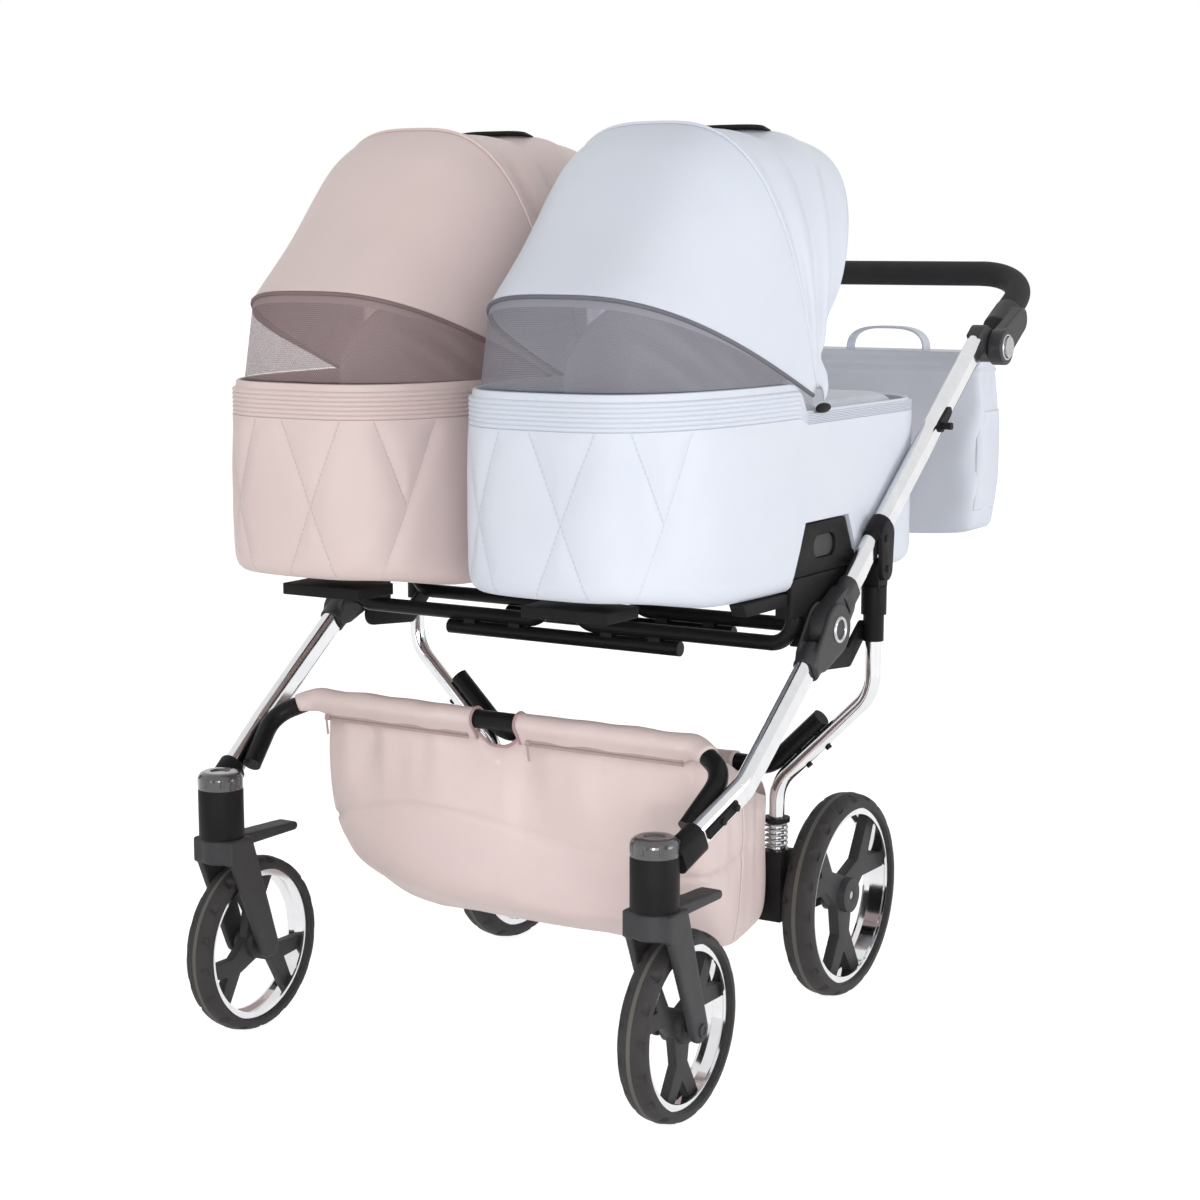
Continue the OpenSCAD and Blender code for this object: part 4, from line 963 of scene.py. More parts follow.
def cover_half(y):
    """Half width of the cover at a place along the cot."""
    end = COT_FOOT_Y - COVER_INSET
    corner = COT_CORNER - COVER_INSET
    past = max(0, y - (end - corner))
    return COT_HALF - COVER_INSET - corner + math.sqrt(max(0, corner**2 - past**2))


def cover_place(u, v):
    turn = math.tau * u
    y = between(COVER_FRONT, COT_FOOT_Y - COVER_INSET - 0.0005, v)
    half = cover_half(y) * ease(v, -0.25, 0.02)
    x = half * rounded(math.cos(turn), 8)
    z = between(COVER_LOW, COVER_HIGH, 0.5 + 0.5 * rounded(math.sin(turn), 3))
    return Vector((COT_X + x, y, z))


def puff_up(piece, swell):
    """Remesh a closed slab, let a cloth simulation blow it up, and cap how far each point moved."""
    finish_with(piece, "REMESH", mode="VOXEL", voxel_size=0.005)
    start = [vertex.co.copy() for vertex in piece.data.vertices]
    take(piece)
    cloth = piece.modifiers.new("Puff", "CLOTH")
    cloth.settings.use_pressure = True
    cloth.settings.uniform_pressure_force = 4
    cloth.settings.effector_weights.gravity = 0
    for moment in range(1, 21):
        scene.frame_set(moment)
    bpy.ops.object.modifier_apply(modifier=cloth.name)
    for vertex, first in zip(piece.data.vertices, start):
        moved = vertex.co - first
        vertex.co = first + moved * min(1, swell / max(moved.length, 1e-9))
    scene.frame_set(1)
    finish_with(piece, "SUBSURF", levels=1, render_levels=1)


cover = wrapped_grid("foot_cover_left", 120, 90, cover_place)
in_edit_mode(cover, lambda: bpy.ops.mesh.fill_holes(sides=0), point_outwards)
puff_up(cover, COVER_SWELL)
smooth(cover, 60)
covers = {"left": cover, "right": copy_piece(cover, "foot_cover_right", (-2 * COT_X, 0, 0))}
for side, piece in covers.items():
    dress(piece, CLOTH[side])
    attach(piece, f"cot_{side}")
    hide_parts(f"cot_apron_{side}")
    "blue" if side == "left" else "pink"
print("foot covers:", len(cover.data.polygons), "faces each")

# %% [markdown]
# From the cover's front edge a wind flap stands up under the hood. It is cloth behind and lining in
# front, and its upper corners are pulled forward, so slanting creases run down from them.

# %% Wind flaps
FLAP_HALF = 0.1655
FLAP_FOOT = COVER_FRONT + 0.006
FLAP_TIP = COT_MIDDLE_Y - 0.004
FLAP_SIDE_Z = 0.952
FLAP_RISE = 0.058
FLAP_WRAP = 0.105
FLAP_CUT = 0.50
FLAP_LENGTH = 0.165
CLOTH_THICKNESS = 0.0016


def flap_place(u, v):
    side = 2 * u - 1
    top = FLAP_SIDE_Z + FLAP_RISE * (1 - abs(side) ** 2.2)
    crease = math.sin(24 * (u + 0.75 * v)) + math.sin(37 * (u + 0.55 * v) + 1.3)
    slack = 0.0035 * crease * math.sin(math.pi * v) * math.sin(math.pi * u)
    wrap = FLAP_WRAP * ease(abs(side), 0.7, 1) * (1 - v * v)
    y = between(FLAP_FOOT, FLAP_TIP, ease(v, -0.3, 1)) + slack - wrap
    return Vector((COT_X + FLAP_HALF * side, y, between(COVER_HIGH - 0.001, top, v)))


def cloth_area(piece):
    """Area of a single layer of cloth, in square metres."""
    return sum(face.area for face in piece.data.polygons)


def flap_pattern(u, v):
    return (u * FLAP_CUT, v * FLAP_LENGTH)


flap = wrapped_grid("wind_flap_left", 90, 50, flap_place, flap_pattern, shell=False)
finish_with(flap, "SOLIDIFY", thickness=CLOTH_THICKNESS, offset=-1, material_offset=1)
flaps = {"left": flap, "right": copy_piece(flap, "wind_flap_right", (-2 * COT_X, 0, 0))}
for side, piece in flaps.items():
    dress(piece, CLOTH[side], LINING[side])
    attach(piece, f"cot_{side}")
    "blue" if side == "left" else "pink"

# %% [markdown]
# A hood is cloth over bows that turn about one pivot line. A bow is a rounded arch, so the grid runs
# round the arch one way and from bow to bow the other. The front panel is pulled straight between visor
# and seam.

# %% Bows of a hood
HOOD_Z = 0.862
HOOD_HALF = 0.174
HOOD_R = 0.378
HOOD_SQUARENESS = 3.1
VISOR = 21
SEAM = 71
HOOD_BACK = 118
BOW_STEPS = 120
BOW_LOW = 0.05

bow_turns = [math.pi * k / 1600 for k in range(1601)]
bow_curve = [
    (HOOD_HALF * rounded(math.cos(t), HOOD_SQUARENESS), HOOD_R * rounded(math.sin(t), HOOD_SQUARENESS))
    for t in bow_turns
]
bow_line = even_steps([point for point in bow_curve if point[1] > BOW_LOW * HOOD_R], BOW_STEPS)
BOW_LENGTH = bow_line[-1][2]


def on_hood(u, angle, radius, spread=1.0):
    """A point of the left hood: u runs round the arch, the angle rises from the front, in degrees."""
    x, reach, _ = bow_line[round(u * BOW_STEPS)]
    out = reach / HOOD_R * radius
    turn = math.radians(angle)
    return Vector((COT_X + x * spread, COT_MIDDLE_Y - out * math.cos(turn), HOOD_Z + out * math.sin(turn)))


print("cloth round one bow, metres:", round(BOW_LENGTH, 3))

# %% [markdown]
# The panels are single sheets with a thickness and a lining inside. Their outline was read from the
# photograph: straight from the visor, then rounding over into the seam. Behind the seam the cloth is
# slack and falls in folds.

# %% Hood panels
FRONT_LINE = ((21, 1.0), (30, 0.940), (38, 0.911), (46, 0.911), (54, 0.930), (62, 0.957), (71, 0.966))
REAR_LINE = ((68, 0.955), (76, 0.938), (84, 0.912), (92, 0.902), (100, 0.918), (108, 0.962), (118, 0.994))
REAR_EDGE = ((0.05, 186), (0.085, 160), (0.14, 104), (0.22, 108), (0.4, 116), (0.57, 118), (1.0, 118))
REAR_FOLDS = ((80, 3.0, 0.013), (96, 4.5, 0.018), (111, 4.0, 0.016))
FRONT_STEPS = 44
REAR_STEPS = 72


def front_panel(u, v):
    angle = between(VISOR, SEAM, v)
    radius = HOOD_R * curve_through(FRONT_LINE, angle)
    ripple = 0.0011 * noise.noise(Vector((u * 9, v * 3, 0.4))) * math.sin(math.pi * v)
    return on_hood(u, angle, radius + ripple)


def rear_panel(u, v):
    reach = bow_line[round(u * BOW_STEPS)][1] / HOOD_R
    angle = between(SEAM - 2.5, curve_through(REAR_EDGE, reach), v)
    radius = HOOD_R * curve_through(REAR_LINE, min(angle, HOOD_BACK))
    slack = ease(reach, 0.08, 0.4) * (1 - 0.75 * ease(reach, 0.75, 0.99))
    fold = 0
    for middle, width, depth in REAR_FOLDS:
        sway = middle + 3 * noise.noise(Vector((u * 5, middle, 0)))
        fold += depth * slack * math.exp(-(((angle - sway) / width) ** 2))
    return on_hood(u, angle, radius - fold, 0.986 * (1 - 3.2 * fold))


def panel(name, steps, place, length):
    """A panel of cloth with its lining, and the area that it was cut to."""

    def pattern(u, v):
        return (u * BOW_LENGTH, v * length)

    cloth = wrapped_grid(name, BOW_STEPS, steps, place, pattern, shell=False)
    cut = cloth_area(cloth)
    finish_with(cloth, "SOLIDIFY", thickness=CLOTH_THICKNESS, offset=-1, material_offset=1)
    return cloth, cut


FRONT_LENGTH = 0.33
REAR_LENGTH = 0.36
front = {}
rear = {}
front["left"], front_cut = panel("hood_front_cloth_left", FRONT_STEPS, front_panel, FRONT_LENGTH)
rear["left"], rear_cut = panel("hood_rear_cloth_left", REAR_STEPS, rear_panel, REAR_LENGTH)
front["right"] = copy_piece(front["left"], "hood_front_cloth_right", (-2 * COT_X, 0, 0))
rear["right"] = copy_piece(rear["left"], "hood_rear_cloth_right", (-2 * COT_X, 0, 0))
for side, sign in SIDES.items():
    dress(front[side], CLOTH[side], LINING[side])
    dress(rear[side], CLOTH[side], LINING[side])
    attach(front[side], f"hood_{side}")
    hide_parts(f"hood_front_{side}")
    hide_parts(f"hood_rear_{side}")
    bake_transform(rear[side])
    for piece in (front[side], rear[side]):
        "blue" if side == "left" else "pink"
print("hood panels, square metres:", round(front_cut, 3), round(rear_cut, 3))

# %% [markdown]
# Piping is a cord sewn into a cloth tube. It runs round the visor in mauve binding and along the seam in
# the cloth. A swept round section follows the same bow, so the piping lies on the panel's edge.

# %% Piping on the hoods
def piping(name, angle, radius, thickness):
    path = [on_hood(k / BOW_STEPS, angle, radius) for k in range(BOW_STEPS + 1)]
    return swept(name, path, round_section(thickness, 10), up=(0, -math.cos(math.radians(angle)), 1))


SEAM_RADIUS = HOOD_R * curve_through(FRONT_LINE, SEAM)
visor = {"left": piping("visor_binding_left", VISOR, HOOD_R - 0.0012, 0.0028)}
seam = {"left": piping("seam_piping_left", SEAM, SEAM_RADIUS + 0.0004, 0.0022)}
visor["right"] = copy_piece(visor["left"], "visor_binding_right", (-2 * COT_X, 0, 0))
seam["right"] = copy_piece(seam["left"], "seam_piping_right", (-2 * COT_X, 0, 0))
for side in SIDES:
    dress(visor[side], BINDING[side])
    dress(seam[side], CLOTH[side])
    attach(visor[side], f"hood_{side}")
    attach(seam[side], f"hood_{side}")
print("piping sewn on")

# %% [markdown]
# Below the visor a fine dark net closes the hood. It is a straight sheet from the visor down to the cot's
# rim, and its holes are in the material: three families of threads crossing leave six-sided gaps.

# %% Nets
NET_FOOT = COT_TOP + COLLAR_RISE + 0.0012
NET_PITCH = 0.0032
NET_HEIGHT = 0.120
NET_HEM = 0.013


def net_finish(name, tint, deep, hem_tint):
    finish = Finish(name)
    along, up = finish.flat()
    threads = []
    for lean in (-1, 0, 1):
        lane = along * (1 if lean else 0) + up * (0.58 * lean if lean else 1.155)
        threads.append(lane.worked("PINGPONG", lane, NET_PITCH / 2))
    nearest = threads[0].worked("MINIMUM", threads[0], threads[1])
    nearest = nearest.worked("MINIMUM", nearest, threads[2])
    thread = finish.step(nearest, 0.00034, 0.00022)
    hem = finish.step(up, NET_HEIGHT - NET_HEM, NET_HEIGHT - NET_HEM + 0.0004)
    woven_tint = finish.mixed(finish.cloud(14), tint, deep)
    finish.wear({
        "Base Color": finish.mixed(hem, woven_tint, hem_tint),
        "Roughness": 0.6 + 0.1 * finish.cloud(90),
        "Alpha": hem.worked("MAXIMUM", hem, 0.16 + 0.84 * thread),
    })
    return finish


def net_place(u, v):
    top = on_hood(u, VISOR, HOOD_R - 0.002)
    foot = on_hood(u, 0, HOOD_R * 0.986)
    foot.z = min(NET_FOOT, cot_rim(foot.y) + 0.0012, top.z - 0.0005)
    return foot.lerp(top, v)


def net_pattern(u, v):
    return (u * BOW_LENGTH, v * NET_HEIGHT)


NET = {
    "left": net_finish("blue_net", paint(160, 156, 165), paint(146, 142, 151), paint(140, 138, 148)),
    "right": net_finish("pink_net", paint(170, 149, 152), paint(154, 134, 138), paint(146, 127, 128)),
}
net = {"left": wrapped_grid("hood_net_left", BOW_STEPS, 20, net_place, net_pattern, shell=False)}
net["right"] = copy_piece(net["left"], "hood_net_right", (-2 * COT_X, 0, 0))
for side in SIDES:
    dress(net[side], NET[side])
    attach(net[side], f"hood_{side}")
    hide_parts(f"hood_mesh_{side}")

# %% [markdown]
# A short black carry strap arches over the top of each hood's rear panel.

# %% Carry straps
STRAP_ANGLE = 103
STRAP_HALF = 0.052
strap_radius = HOOD_R * curve_through(REAR_LINE, STRAP_ANGLE)
strap_path = []
for k in range(25):
    share = 2 * k / 24 - 1
    lift = 0.0012 + 0.002 * (1 - share**4)
    turn = math.radians(STRAP_ANGLE)
    reach = strap_radius + lift
    strap_path.append(
        (COT_X + STRAP_HALF * share, COT_MIDDLE_Y - reach * math.cos(turn), HOOD_Z + reach * math.sin(turn))
    )
strap_up = (0, -math.cos(math.radians(STRAP_ANGLE)), math.sin(math.radians(STRAP_ANGLE)))
straps = {"left": swept("hood_strap_left", strap_path, flat_section(0.026, 0.0028), up=strap_up)}
straps["right"] = copy_piece(straps["left"], "hood_strap_right", (-2 * COT_X, 0, 0))
for side, sign in SIDES.items():
    dress(straps[side], black_webbing)
    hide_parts(f"hood_handle_{side}")
    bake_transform(straps[side])
print("carry straps:", len(straps))

# %% [markdown]
# The shopping basket hangs between a front and a rear hoop. It is one lofted sheet: a squarish plan at
# the rim, rounding under into a sagging floor. Its front corners are cut round, while the back is deep
# and square.

# %% Basket
HOOP_Y = REAR_AXLE_Y - 0.450
HOOP_Z = 0.442
HOOP_R = 0.0125
REAR_HOOP_Y = REAR_AXLE_Y - 0.112
REAR_HOOP_Z = 0.345
BASKET_FRONT_HALF = 0.306
BASKET_REAR_HALF = 0.230
FLOOR_FRONT = 0.178
FLOOR_REAR = 0.127
FRONT_LIFT = 0.055
RIM_SAG = 0.030
BASKET_LEAN = 0.006
BASKET_STEPS = 240
BASKET_RINGS = 64
PLAN_SQUARENESS = 11
WINDOW_HALF = 0.034
WINDOW_DIP = 0.020
BASKET_SEAM = ((-1, 0.274), (-0.5, 0.310), (-0.1, 0.306), (0.43, 0.282), (1, 0.264))

plan_turns = [math.tau * k / 7200 for k in range(7201)]
plan_points = [
    (rounded(math.cos(t), PLAN_SQUARENESS), rounded(math.sin(t), PLAN_SQUARENESS))
    for t in plan_turns
]
plan_line = even_steps([(0.25 * x, 0.165 * y) for x, y in plan_points], BASKET_STEPS)
basket_plan = [(x / 0.25, y / 0.165) for x, y, _ in plan_line]


def basket_rim(x, backwards):
    """Height of the rim, which sags along the flanks and dips in the window of the front sleeve."""
    hung = between(HOOP_Z, REAR_HOOP_Z, backwards) - HOOP_R - 0.0005
    sag = RIM_SAG * ease(backwards, 0.3, 0.8) * (1 - ease(backwards, 0.93, 1))
    opening = 1 - ease(abs(x), WINDOW_HALF - 0.026, WINDOW_HALF + 0.012)
    return hung - sag - WINDOW_DIP * opening * (1 - ease(backwards, 0.02, 0.05))


def basket_place(u, v):
    share_x, share_y = basket_plan[round(u * BASKET_STEPS)]
    backwards = (1 + share_y) / 2
    squareness = between(10, 17, ease(backwards, 0.05, 0.6))
    level = math.pi / 2 * v**2.5
    narrow = math.cos(level) ** (2 / squareness) if v < 1 else 0
    drop = math.sin(level) ** (2 / squareness)
    half_x = between(BASKET_FRONT_HALF, BASKET_REAR_HALF, backwards)
    middle_y = (HOOP_Y + REAR_HOOP_Y) / 2
    half_y = (REAR_HOOP_Y - HOOP_Y) / 2 - 0.002
    x = narrow * half_x * share_x
    y = middle_y + narrow * half_y * share_y - BASKET_LEAN * share_y * drop * narrow
    here = (1 + share_y * narrow) / 2
    lift = FRONT_LIFT * abs(share_x * narrow) ** 3 * (1 - ease(here, 0, 0.6))
    floor_z = between(FLOOR_FRONT, FLOOR_REAR, ease(here, 0, 0.45)) + lift
    z = between(basket_rim(half_x * share_x, backwards), floor_z, drop)
    wall = ease(drop, 0.02, 0.12) * (1 - ease(drop, 0.86, 0.99))
    pucker = noise.noise(Vector((x * 30, y * 30, z * 5))) * between(0.009, 0.002, ease(drop, 0, 0.7))
    fold = 0.008 * noise.noise(Vector((x * 9 + z * 6, y * 7, z * 3 + 4)))
    crease = 0.0032 * math.exp(-(((z - curve_through(BASKET_SEAM, share_x)) / 0.004) ** 2))
    belly = 0.007 * math.sin(math.pi * min(1, drop))
    out = wall * (pucker + fold + belly - crease - 0.004)
    return Vector((x + out * share_x, y + out * share_y * (1 if share_y < 0 else 0.4), z))


BASKET_ROUND = 1.6
BASKET_DOWN = 0.50


def basket_pattern(u, v):
    return (u * BASKET_ROUND, v * BASKET_DOWN)


basket = wrapped_grid("basket_cloth", BASKET_STEPS, BASKET_RINGS, basket_place, basket_pattern, shell=False)
finish_with(basket, "SOLIDIFY", thickness=CLOTH_THICKNESS, offset=-1)
dress(basket, pink_cloth)
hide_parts("basket")
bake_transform(basket)

# %% [markdown]
# The front rim is a cloth sleeve round the hoop, cut away in the middle, where the black tube shows. Its
# section is a drop: round over the tube and flat below, where it ends in a zip. Each open end is bound
# with mauve tape.

# %% Basket sleeves
HOOP_STRAIGHT = 0.2864
HOOP_CORNER = Vector((0.300, HOOP_Y, HOOP_Z))
HOOP_KNEE = Vector((0.353, REAR_AXLE_Y - 0.480, 0.418))
PAST_CORNER = 0.012
SLEEVE_TAIL = 0.011
SLEEVE_SLACK = 0.0022
SLEEVE_TAPER = (0.268, 0.302)
SLEEVE_R = HOOP_R + 0.0026


def sleeve_section(tail, sides=36):
    """A drop: round above, drawn together below."""
    section = []
    for k in range(sides):
        turn = math.tau * k / sides
        low = max(0, -math.sin(turn))
        aside = SLEEVE_R * math.cos(turn) * (1 - 0.7 * low**3)
        section.append((aside, SLEEVE_R * math.sin(turn) - tail * low**4))
    return section


def hoop_path(first):
    """Points along the front hoop, from a place on its straight to a little past its +X corner."""
    away = (HOOP_KNEE - HOOP_CORNER).normalized()
    bend = Vector((HOOP_STRAIGHT, HOOP_Y, HOOP_Z))
    leave = HOOP_CORNER + away * (HOOP_CORNER - bend).length
    points = [Vector((between(first, HOOP_STRAIGHT, k / 60), HOOP_Y, HOOP_Z)) for k in range(60)]
    for k in range(9):
        share = k / 8
        points.append(bend.lerp(HOOP_CORNER, share).lerp(HOOP_CORNER.lerp(leave, share), share))
    points += [leave + away * PAST_CORNER * k / 3 for k in (1, 2, 3)]
    return points


def sleeve(name, path, tail):
    """A sleeve round a hoop, slack along its length and with its tail cut away towards its outer end."""
    piece = swept(name, path, sleeve_section(tail))
    level = path[0][2] - SLEEVE_R
    for vertex in piece.data.vertices:
        tail_here = max(0, level - vertex.co.z)
        vertex.co.z += tail_here * ease(abs(vertex.co.x), *SLEEVE_TAPER)
        vertex.co += vertex.normal * SLEEVE_SLACK * noise.noise(vertex.co * 26)
    return piece


front_path = hoop_path(WINDOW_HALF)
sleeves = {"left": sleeve("basket_sleeve_left", front_path, SLEEVE_TAIL)}
sleeves["right"] = copy_piece(sleeves["left"], "basket_sleeve_right", mirror=True)
rear_path = [(0.17 * (k / 30 - 1), REAR_HOOP_Y, REAR_HOOP_Z) for k in range(61)]
sleeves["rear"] = sleeve("basket_sleeve_rear", rear_path, 0.004)
for end, piece in sleeves.items():
    dress(piece, pink_cloth)
    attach(piece, "rear_frame" if end == "rear" else "chassis")
print("sleeves:", len(sleeves))

# %% [markdown]
# The zips below the sleeves are a tape with a row of teeth on it, and the pulls hang from small sliders.
# Bindings are thin cords swept round the open ends and along the window's lower edge.

# %% Zips and bindings of the basket
zip_tape = woven("zip_tape", paint(196, 174, 171), paint(184, 162, 160), 0.0008)
zip_teeth = moulded_plastic("zip_teeth", paint(150, 130, 129), paint(166, 146, 145), 0.4)
basket_binding = woven("basket_binding", paint(198, 166, 168), paint(184, 152, 155), 0.0008)
ZIP_DROP = SLEEVE_R + SLEEVE_TAIL - 0.003
ZIP_SPAN = (WINDOW_HALF + 0.012, 0.280)


def slider(name, spot, outward):
    """A zip slider with its pull, a small block and a strip that hangs from it and stands off a little."""
    start_fresh()
    bpy.ops.mesh.primitive_cube_add(size=1, location=spot)
    block = bpy.context.object
    block.name = name
    block.scale = (0.007, 0.004, 0.007)
    bpy.ops.object.transform_apply(location=True, rotation=True, scale=True)
    finish_with(block, "BEVEL", width=0.0012, segments=2)
    smooth(block)
    path = []
    for k in range(7):
        stand_off = Vector(outward) * (0.002 + 0.004 * k / 6)
        path.append(Vector(spot) + stand_off + Vector((0.001 * k, 0, -0.0036 * k)))
    pull = swept(f"{name}_pull", path, flat_section(0.0034, 0.0012, 12), up=outward)
    return block, pull


ring_path = [
    Vector((WINDOW_HALF, HOOP_Y - aside, HOOP_Z + top))
    for aside, top in sleeve_section(SLEEVE_TAIL)
]
ring_path.append(ring_path[0])


def zip_path(ahead):
    return [(between(*ZIP_SPAN, k / 60), HOOP_Y - ahead, HOOP_Z - ZIP_DROP) for k in range(61)]


trims = {
    "zip_tape": (swept("zip_tape_left", zip_path(0.003), flat_section(0.0014, 0.009)), zip_tape),
    "zip_teeth": (swept("zip_teeth_left", zip_path(0.0042), round_section(0.0011, 8)), zip_teeth),
    "window_end": (
        swept("window_end_left", ring_path, round_section(0.0020, 8), up=(1, 0, 0)),
        basket_binding,
    ),
}
sewn_on = list(sleeves.values())
window_edge = []
for k in range(41):
    x = (WINDOW_HALF + 0.010) * (k / 20 - 1)
    window_edge.append((x, HOOP_Y + 0.001, basket_rim(x, 0)))
window_trim = swept("window_edge", window_edge, round_section(0.0022, 8))
dress(window_trim, basket_binding)
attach(window_trim, "chassis")
sewn_on.append(window_trim)
for stem, (piece, finish) in trims.items():
    other = copy_piece(piece, f"{stem}_right", mirror=True)
    for made in (piece, other):
        dress(made, finish)
        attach(made, "chassis")
        sewn_on.append(made)
for name, x in (("basket_slider_left", WINDOW_HALF + 0.016), ("basket_slider_right", -0.278)):
    for piece in slider(name, (x, HOOP_Y - 0.0062, HOOP_Z - ZIP_DROP), (0, -1, 0)):
        dress(piece, zip_tape)
        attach(piece, "chassis")
        sewn_on.append(piece)
print("pieces sewn on the basket:", len(sewn_on))

# %% [markdown]
# The changing bag hangs behind the left cot. It is a lofted shell: narrow and flat at the top, where two
# ridges carry its zip, and slack lower down, so the bottom sags and the front bellies out.

# %% Changing bag
BAG_X = 0.100
BAG_Y = REAR_AXLE_Y + 0.511
BAG_Z = 0.604
BAG_HEIGHT = 0.281
BAG_HALF = 0.180
BAG_DEEP = 0.056
BAG_STEPS = 200
BAG_PROFILE = (
    (0.0, 0.83, 0.80),
    (0.02, 0.915, 0.91),
    (0.07, 0.950, 0.98),
    (0.2, 0.970, 1.0),
    (0.45, 0.985, 0.97),
    (0.7, 0.985, 0.89),
    (0.88, 0.970, 0.80),
    (1.0, 0.955, 0.74),
)
bag_turns = [math.tau * k / 3600 for k in range(3601)]
bag_points = [(BAG_HALF * rounded(math.cos(t), 6), BAG_DEEP * rounded(math.sin(t), 6)) for t in bag_turns]
bag_plan = [(x / BAG_HALF, y / BAG_DEEP) for x, y, _ in even_steps(bag_points, BAG_STEPS)]
BAG_RINGS = [(0, 0), (0, 0.5)] + [(k / 60, 1) for k in range(61)] + [(1, 0.9), (1, 0.5), (1, 0)]


def bag_place(u, v):
    share_x, share_y = bag_plan[round(u * BAG_STEPS)]
    height, share = BAG_RINGS[round(v * (len(BAG_RINGS) - 1))]
    wide = curve_through([(h, w) for h, w, _ in BAG_PROFILE], height)
    deep = curve_through([(h, d) for h, _, d in BAG_PROFILE], height)
    ridge = 0.0016 * sum(math.exp(-(((height - place) / 0.010) ** 2)) for place in (0.90, 0.945))
    groove = 0.0030 * sum(math.exp(-(((height - place) / 0.007) ** 2)) for place in (0.875, 0.922, 0.97))
    rumple = noise.noise(Vector((share_x * 3.1, share_y * 2.3, height * 4)))
    wrinkle = rumple * 0.006 * math.sin(math.pi * height)
    sag = -0.006 * (1 - abs(share_x * share) ** 2) * (1 - height) ** 4
    out = ridge - groove + wrinkle
    x = share * (BAG_HALF * wide * share_x + out * share_x)
    y = share * (BAG_DEEP * deep * share_y + out * share_y)
    return Vector((BAG_X + x, BAG_Y + y, BAG_Z + BAG_HEIGHT * height + sag + 0.006))


bag = wrapped_grid("changing_bag", BAG_STEPS, len(BAG_RINGS) - 1, bag_place, lambda u, v: (u * 0.93, v * 0.4))
dress(bag, blue_cloth)
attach(bag, "pusher")
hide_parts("bag")
print("bag faces:", len(bag.data.polygons))

# %% [markdown]
# A flat webbing handle arches over the bag, a slack pocket bulges on its side, and two straps hang it
# from the handle's knuckles. Webbing is swept with a wide thin section, because real straps are flat.

# %% Bag handle, pocket and straps
ARCH_HALF = 0.066
ARCH_RISE = 0.040
arch_path = []
for k in range(33):
    turn = math.pi * k / 32
    rise = BAG_Z + BAG_HEIGHT + 0.001 + ARCH_RISE * rounded(math.sin(turn), 3)
    arch_path.append((BAG_X - ARCH_HALF * rounded(math.cos(turn), 3), BAG_Y, rise))
bag_arch = swept("bag_arch", arch_path, flat_section(0.0045, 0.026), up=(0, 1, 0))


def pocket_place(u, v):
    """A pocket on the bag's +X side that is full at its foot and drawn in at its hem."""
    y = between(-0.040, 0.040, u)
    z = between(0.646, 0.800, v)
    height = (z - BAG_Z - 0.006) / BAG_HEIGHT
    deep = BAG_DEEP * curve_through([(h, d) for h, _, d in BAG_PROFILE], height)
    side = BAG_HALF * curve_through([(h, w) for h, w, _ in BAG_PROFILE], height)
    side *= (1 - abs(y / deep) ** 6) ** (1 / 6)
    bulge = 0.35 + 0.65 * math.sin(math.pi * min(1, 0.12 + 0.86 * (1 - v)))
    full = (1 - abs(2 * u - 1) ** 4) * bulge * ease(v, -0.02, 0.1)
    gather = 0.0012 * math.sin(u * 46) * ease(v, 0.7, 1)
    return Vector((BAG_X + side - 0.002 + 0.006 * full + gather, BAG_Y + y * (1 - 0.06 * ease(v, 0.7, 1)), z))


bag_pocket = wrapped_grid("bag_pocket", 40, 60, pocket_place, lambda u, v: (u * 0.1, v * 0.16), False)
finish_with(bag_pocket, "SOLIDIFY", thickness=0.0014, offset=-1)


def hanging_strap(name, sign):
    foot = Vector((BAG_X + sign * 0.140, BAG_Y - 0.030, 0.868))
    top = Vector((sign * 0.3612, REAR_AXLE_Y + 0.252, 0.897))
    path = []
    for k in range(25):
        share = k / 24
        point = foot.lerp(top, share)
        point.z -= 0.012 * math.sin(math.pi * share)
        path.append(point)
    return swept(name, path, flat_section(0.020, 0.0022))


bag_straps = [hanging_strap(f"bag_strap_{side}", sign) for side, sign in SIDES.items()]
for piece in [bag_arch, bag_pocket] + bag_straps:
    dress(piece, blue_cloth)
    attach(piece, "pusher")
print("bag pieces:", 2 + len(bag_straps))

# %% [markdown]
# Tyres are turned on a lathe: a section swept round the axle. A raised band runs round the middle of the
# tread and arrow-shaped notches are pressed into its shoulders, so each tyre is a grid with some of its
# points moved inwards.

# %% Tyres
RIM_SHARE = 0.86
NOTCH_PITCH = 0.045
NOTCH_DEPTH = 0.0040
BAND_RISE = 0.0009
BAND_UV = 0.0105


def tyre_rubber():
    """Black rubber with a greyer band round the middle of the tread, where V is a quarter."""
    dull = paint(46, 44, 44)
    dusty = paint(58, 56, 56)
    finish = moulded_plastic("tyre_rubber", dull, dusty, 0.62, 0.0003)
    _, across = finish.flat()
    off_middle = across.worked("ABSOLUTE", across - 0.25)
    band = finish.step(off_middle, BAND_UV, BAND_UV * 0.8)
    black = finish.mixed(finish.cloud(25), dull, dusty)
    return finish.wear({"Base Color": finish.mixed(band, black, paint(92, 91, 86))})


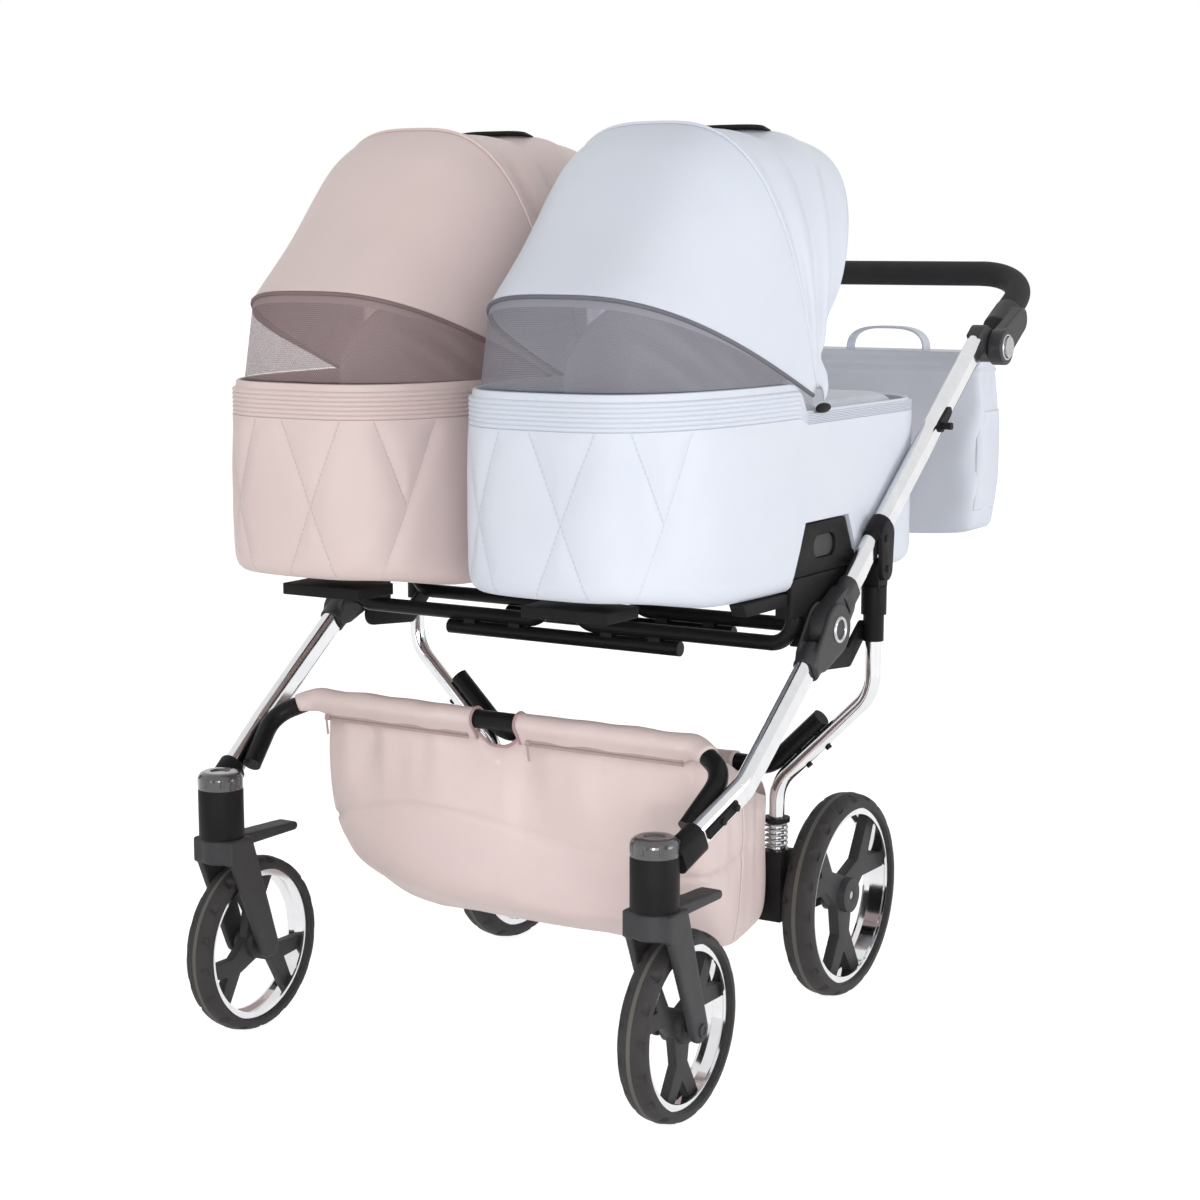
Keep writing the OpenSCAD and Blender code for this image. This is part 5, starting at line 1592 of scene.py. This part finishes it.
def tyre(name, x, y, z, diameter, width):
    seat = RIM_SHARE * diameter / 2
    depth = diameter / 2 - seat
    pitches = round(math.pi * diameter / NOTCH_PITCH)

    def place(u, v):
        turn = math.tau * u
        bulge = math.tau * v
        aside = width / 2 * rounded(math.cos(bulge), 3)
        out = seat + depth * max(0, rounded(math.sin(bulge), 3))
        tread = ease(out, seat + depth * 0.5, seat + depth * 0.8)
        beside = ease(abs(aside), 0.0028, 0.0038)
        lane = (u * pitches + (0.5 if aside > 0 else 0)) % 1
        arrow = min(1, max(0, abs(aside) / width - 0.20) / 0.24)
        edge = 0.12 * arrow
        notch = NOTCH_DEPTH * ease(arrow, 0, 0.2) * (1 - ease(abs(lane - 0.5), edge, edge + 0.06))
        out -= tread * (BAND_RISE * beside + notch)
        return Vector((x + aside, y + out * math.sin(turn), z + out * math.cos(turn)))

    return wrapped_grid(name, pitches * 18, 72, place, lambda u, v: (u, v))


rubber = tyre_rubber()
FRONT_AXLE = (REAR_AXLE_Y - 0.557, 0.119)
REAR_AXLE = (REAR_AXLE_Y, 0.145)
tyres = {
    "front": tyre("front_tyre_rubber_left", 0.334, *FRONT_AXLE, 0.238, 0.040),
    "rear": tyre("rear_tyre_rubber_left", 0.278, *REAR_AXLE, 0.290, 0.046),
}
for end, piece in tyres.items():
    other = copy_piece(piece, f"{end}_tyre_rubber_right", mirror=True)
    for side, made in (("left", piece), ("right", other)):
        dress(made, rubber)
        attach(made, f"{end}_wheel_{side}")
        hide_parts(f"{end}_tyre_{side}")
print("tyres: 4")

# %% [markdown]
# Small hardware is put where the frame's surface is. A ray from the side finds how far out a node
# reaches, and a screw head, made once from a cylinder with an inset socket, is copied to each place.

# %% Screws, rings and pivots
from mathutils.bvhtree import BVHTree


def outer_face(node, y, z, sign):
    """How far out along X a rigid node's surface is at a place, seen from one side."""
    mesh = nodes[node].data
    faces = BVHTree.FromPolygons([v.co for v in mesh.vertices], [p.vertices for p in mesh.polygons])
    return faces.ray_cast(Vector((sign, y, z)), Vector((-sign, 0, 0)))[0].x


def screw_head(radius):
    start_fresh()
    bpy.ops.mesh.primitive_cylinder_add(vertices=24, radius=radius, depth=0.004)
    head = bpy.context.object
    bpy.ops.object.mode_set(mode="EDIT")
    bpy.ops.mesh.select_mode(type="FACE")
    bpy.ops.mesh.select_all(action="DESELECT")
    bpy.ops.object.mode_set(mode="OBJECT")
    for face in head.data.polygons:
        face.select = face.normal.z > 0.9
    bpy.ops.object.mode_set(mode="EDIT")
    bpy.ops.mesh.inset(thickness=radius * 0.45)
    bpy.ops.mesh.extrude_region_move(TRANSFORM_OT_translate={"value": (0, 0, -0.0012)})
    bpy.ops.object.mode_set(mode="OBJECT")
    finish_with(head, "BEVEL", width=0.0004, segments=2, limit_method="ANGLE", angle_limit=math.radians(40))
    smooth(head, 40)
    return head


def ring_shape(radius, thickness):
    start_fresh()
    bpy.ops.mesh.primitive_torus_add(
        major_radius=radius, minor_radius=thickness, major_segments=56, minor_segments=10
    )
    ring = bpy.context.object
    smooth(ring, 60)
    return ring


def put(shape, name, spot, sign, finish, body):
    """A copy of a shape that faces outwards on one side of the pram."""
    copy = copy_piece(shape, name)
    copy.data.transform(Matrix.Translation(spot) @ Matrix.Rotation(sign * math.pi / 2, 4, "Y"))
    dress(copy, finish)
    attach(copy, body)


FOLD_AT = (REAR_AXLE_Y - 0.254, 0.570)
LEVER_AT = (REAR_AXLE_Y - 0.578, 0.2686)
HANDLE_AT = (REAR_AXLE_Y + 0.2463, 0.9112)
SADDLE = 0.0006
big_screw = screw_head(0.0085)
small_screw = screw_head(0.0055)
badge_ring = ring_shape(0.0150, 0.0026)
BUTTON_RING_R = 0.0172
button_ring = ring_shape(BUTTON_RING_R, 0.0016)
for side, sign in SIDES.items():
    fork = f"front_fork_{side}"
    axle_x = outer_face(fork, *FRONT_AXLE, sign) + sign * SADDLE
    put(big_screw, f"axle_screw_{side}", (axle_x, *FRONT_AXLE), sign, charcoal, f"fork_{side}")
    lever_x = outer_face(fork, *LEVER_AT, sign) + sign * SADDLE
    put(small_screw, f"lever_screw_{side}", (lever_x, *LEVER_AT), sign, satin_black, f"fork_{side}")
    hub_x = outer_face("fold_hubs", *FOLD_AT, sign) + sign * 0.0003
    put(badge_ring, f"hub_ring_{side}", (hub_x, *FOLD_AT), sign, bright_ring, nodes["fold_hubs"]["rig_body"])
    knuckle_x = outer_face("handle_knuckles", HANDLE_AT[0], HANDLE_AT[1] + BUTTON_RING_R, sign)
    put(button_ring, f"button_ring_{side}", (knuckle_x, *HANDLE_AT), sign, bright_ring, "handle")
for shape in (big_screw, small_screw, badge_ring, button_ring):
    bpy.data.objects.remove(shape)


def pivot_lens(name, x, body):
    """The dark end of a hood's pivot, showing below the hood's rear lobe."""
    start_fresh()
    spot = (x, COT_MIDDLE_Y + 0.004, HOOD_Z - 0.010)
    bpy.ops.mesh.primitive_uv_sphere_add(segments=32, ring_count=16, location=spot)
    lens = bpy.context.object
    lens.name = name
    lens.scale = (0.0045, 0.020, 0.0065)
    bpy.ops.object.transform_apply(location=True, rotation=True, scale=True)
    smooth(lens, 60)
    dress(lens, black_plastic)
    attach(lens, body)


for side, sign in SIDES.items():
    for flank in (1, -1):
        x = sign * COT_X + flank * COT_HALF
        pivot_lens(f"hood_pivot_{side}_{'out' if flank == sign else 'in'}", x, f"cot_{side}")
print("small hardware in place")
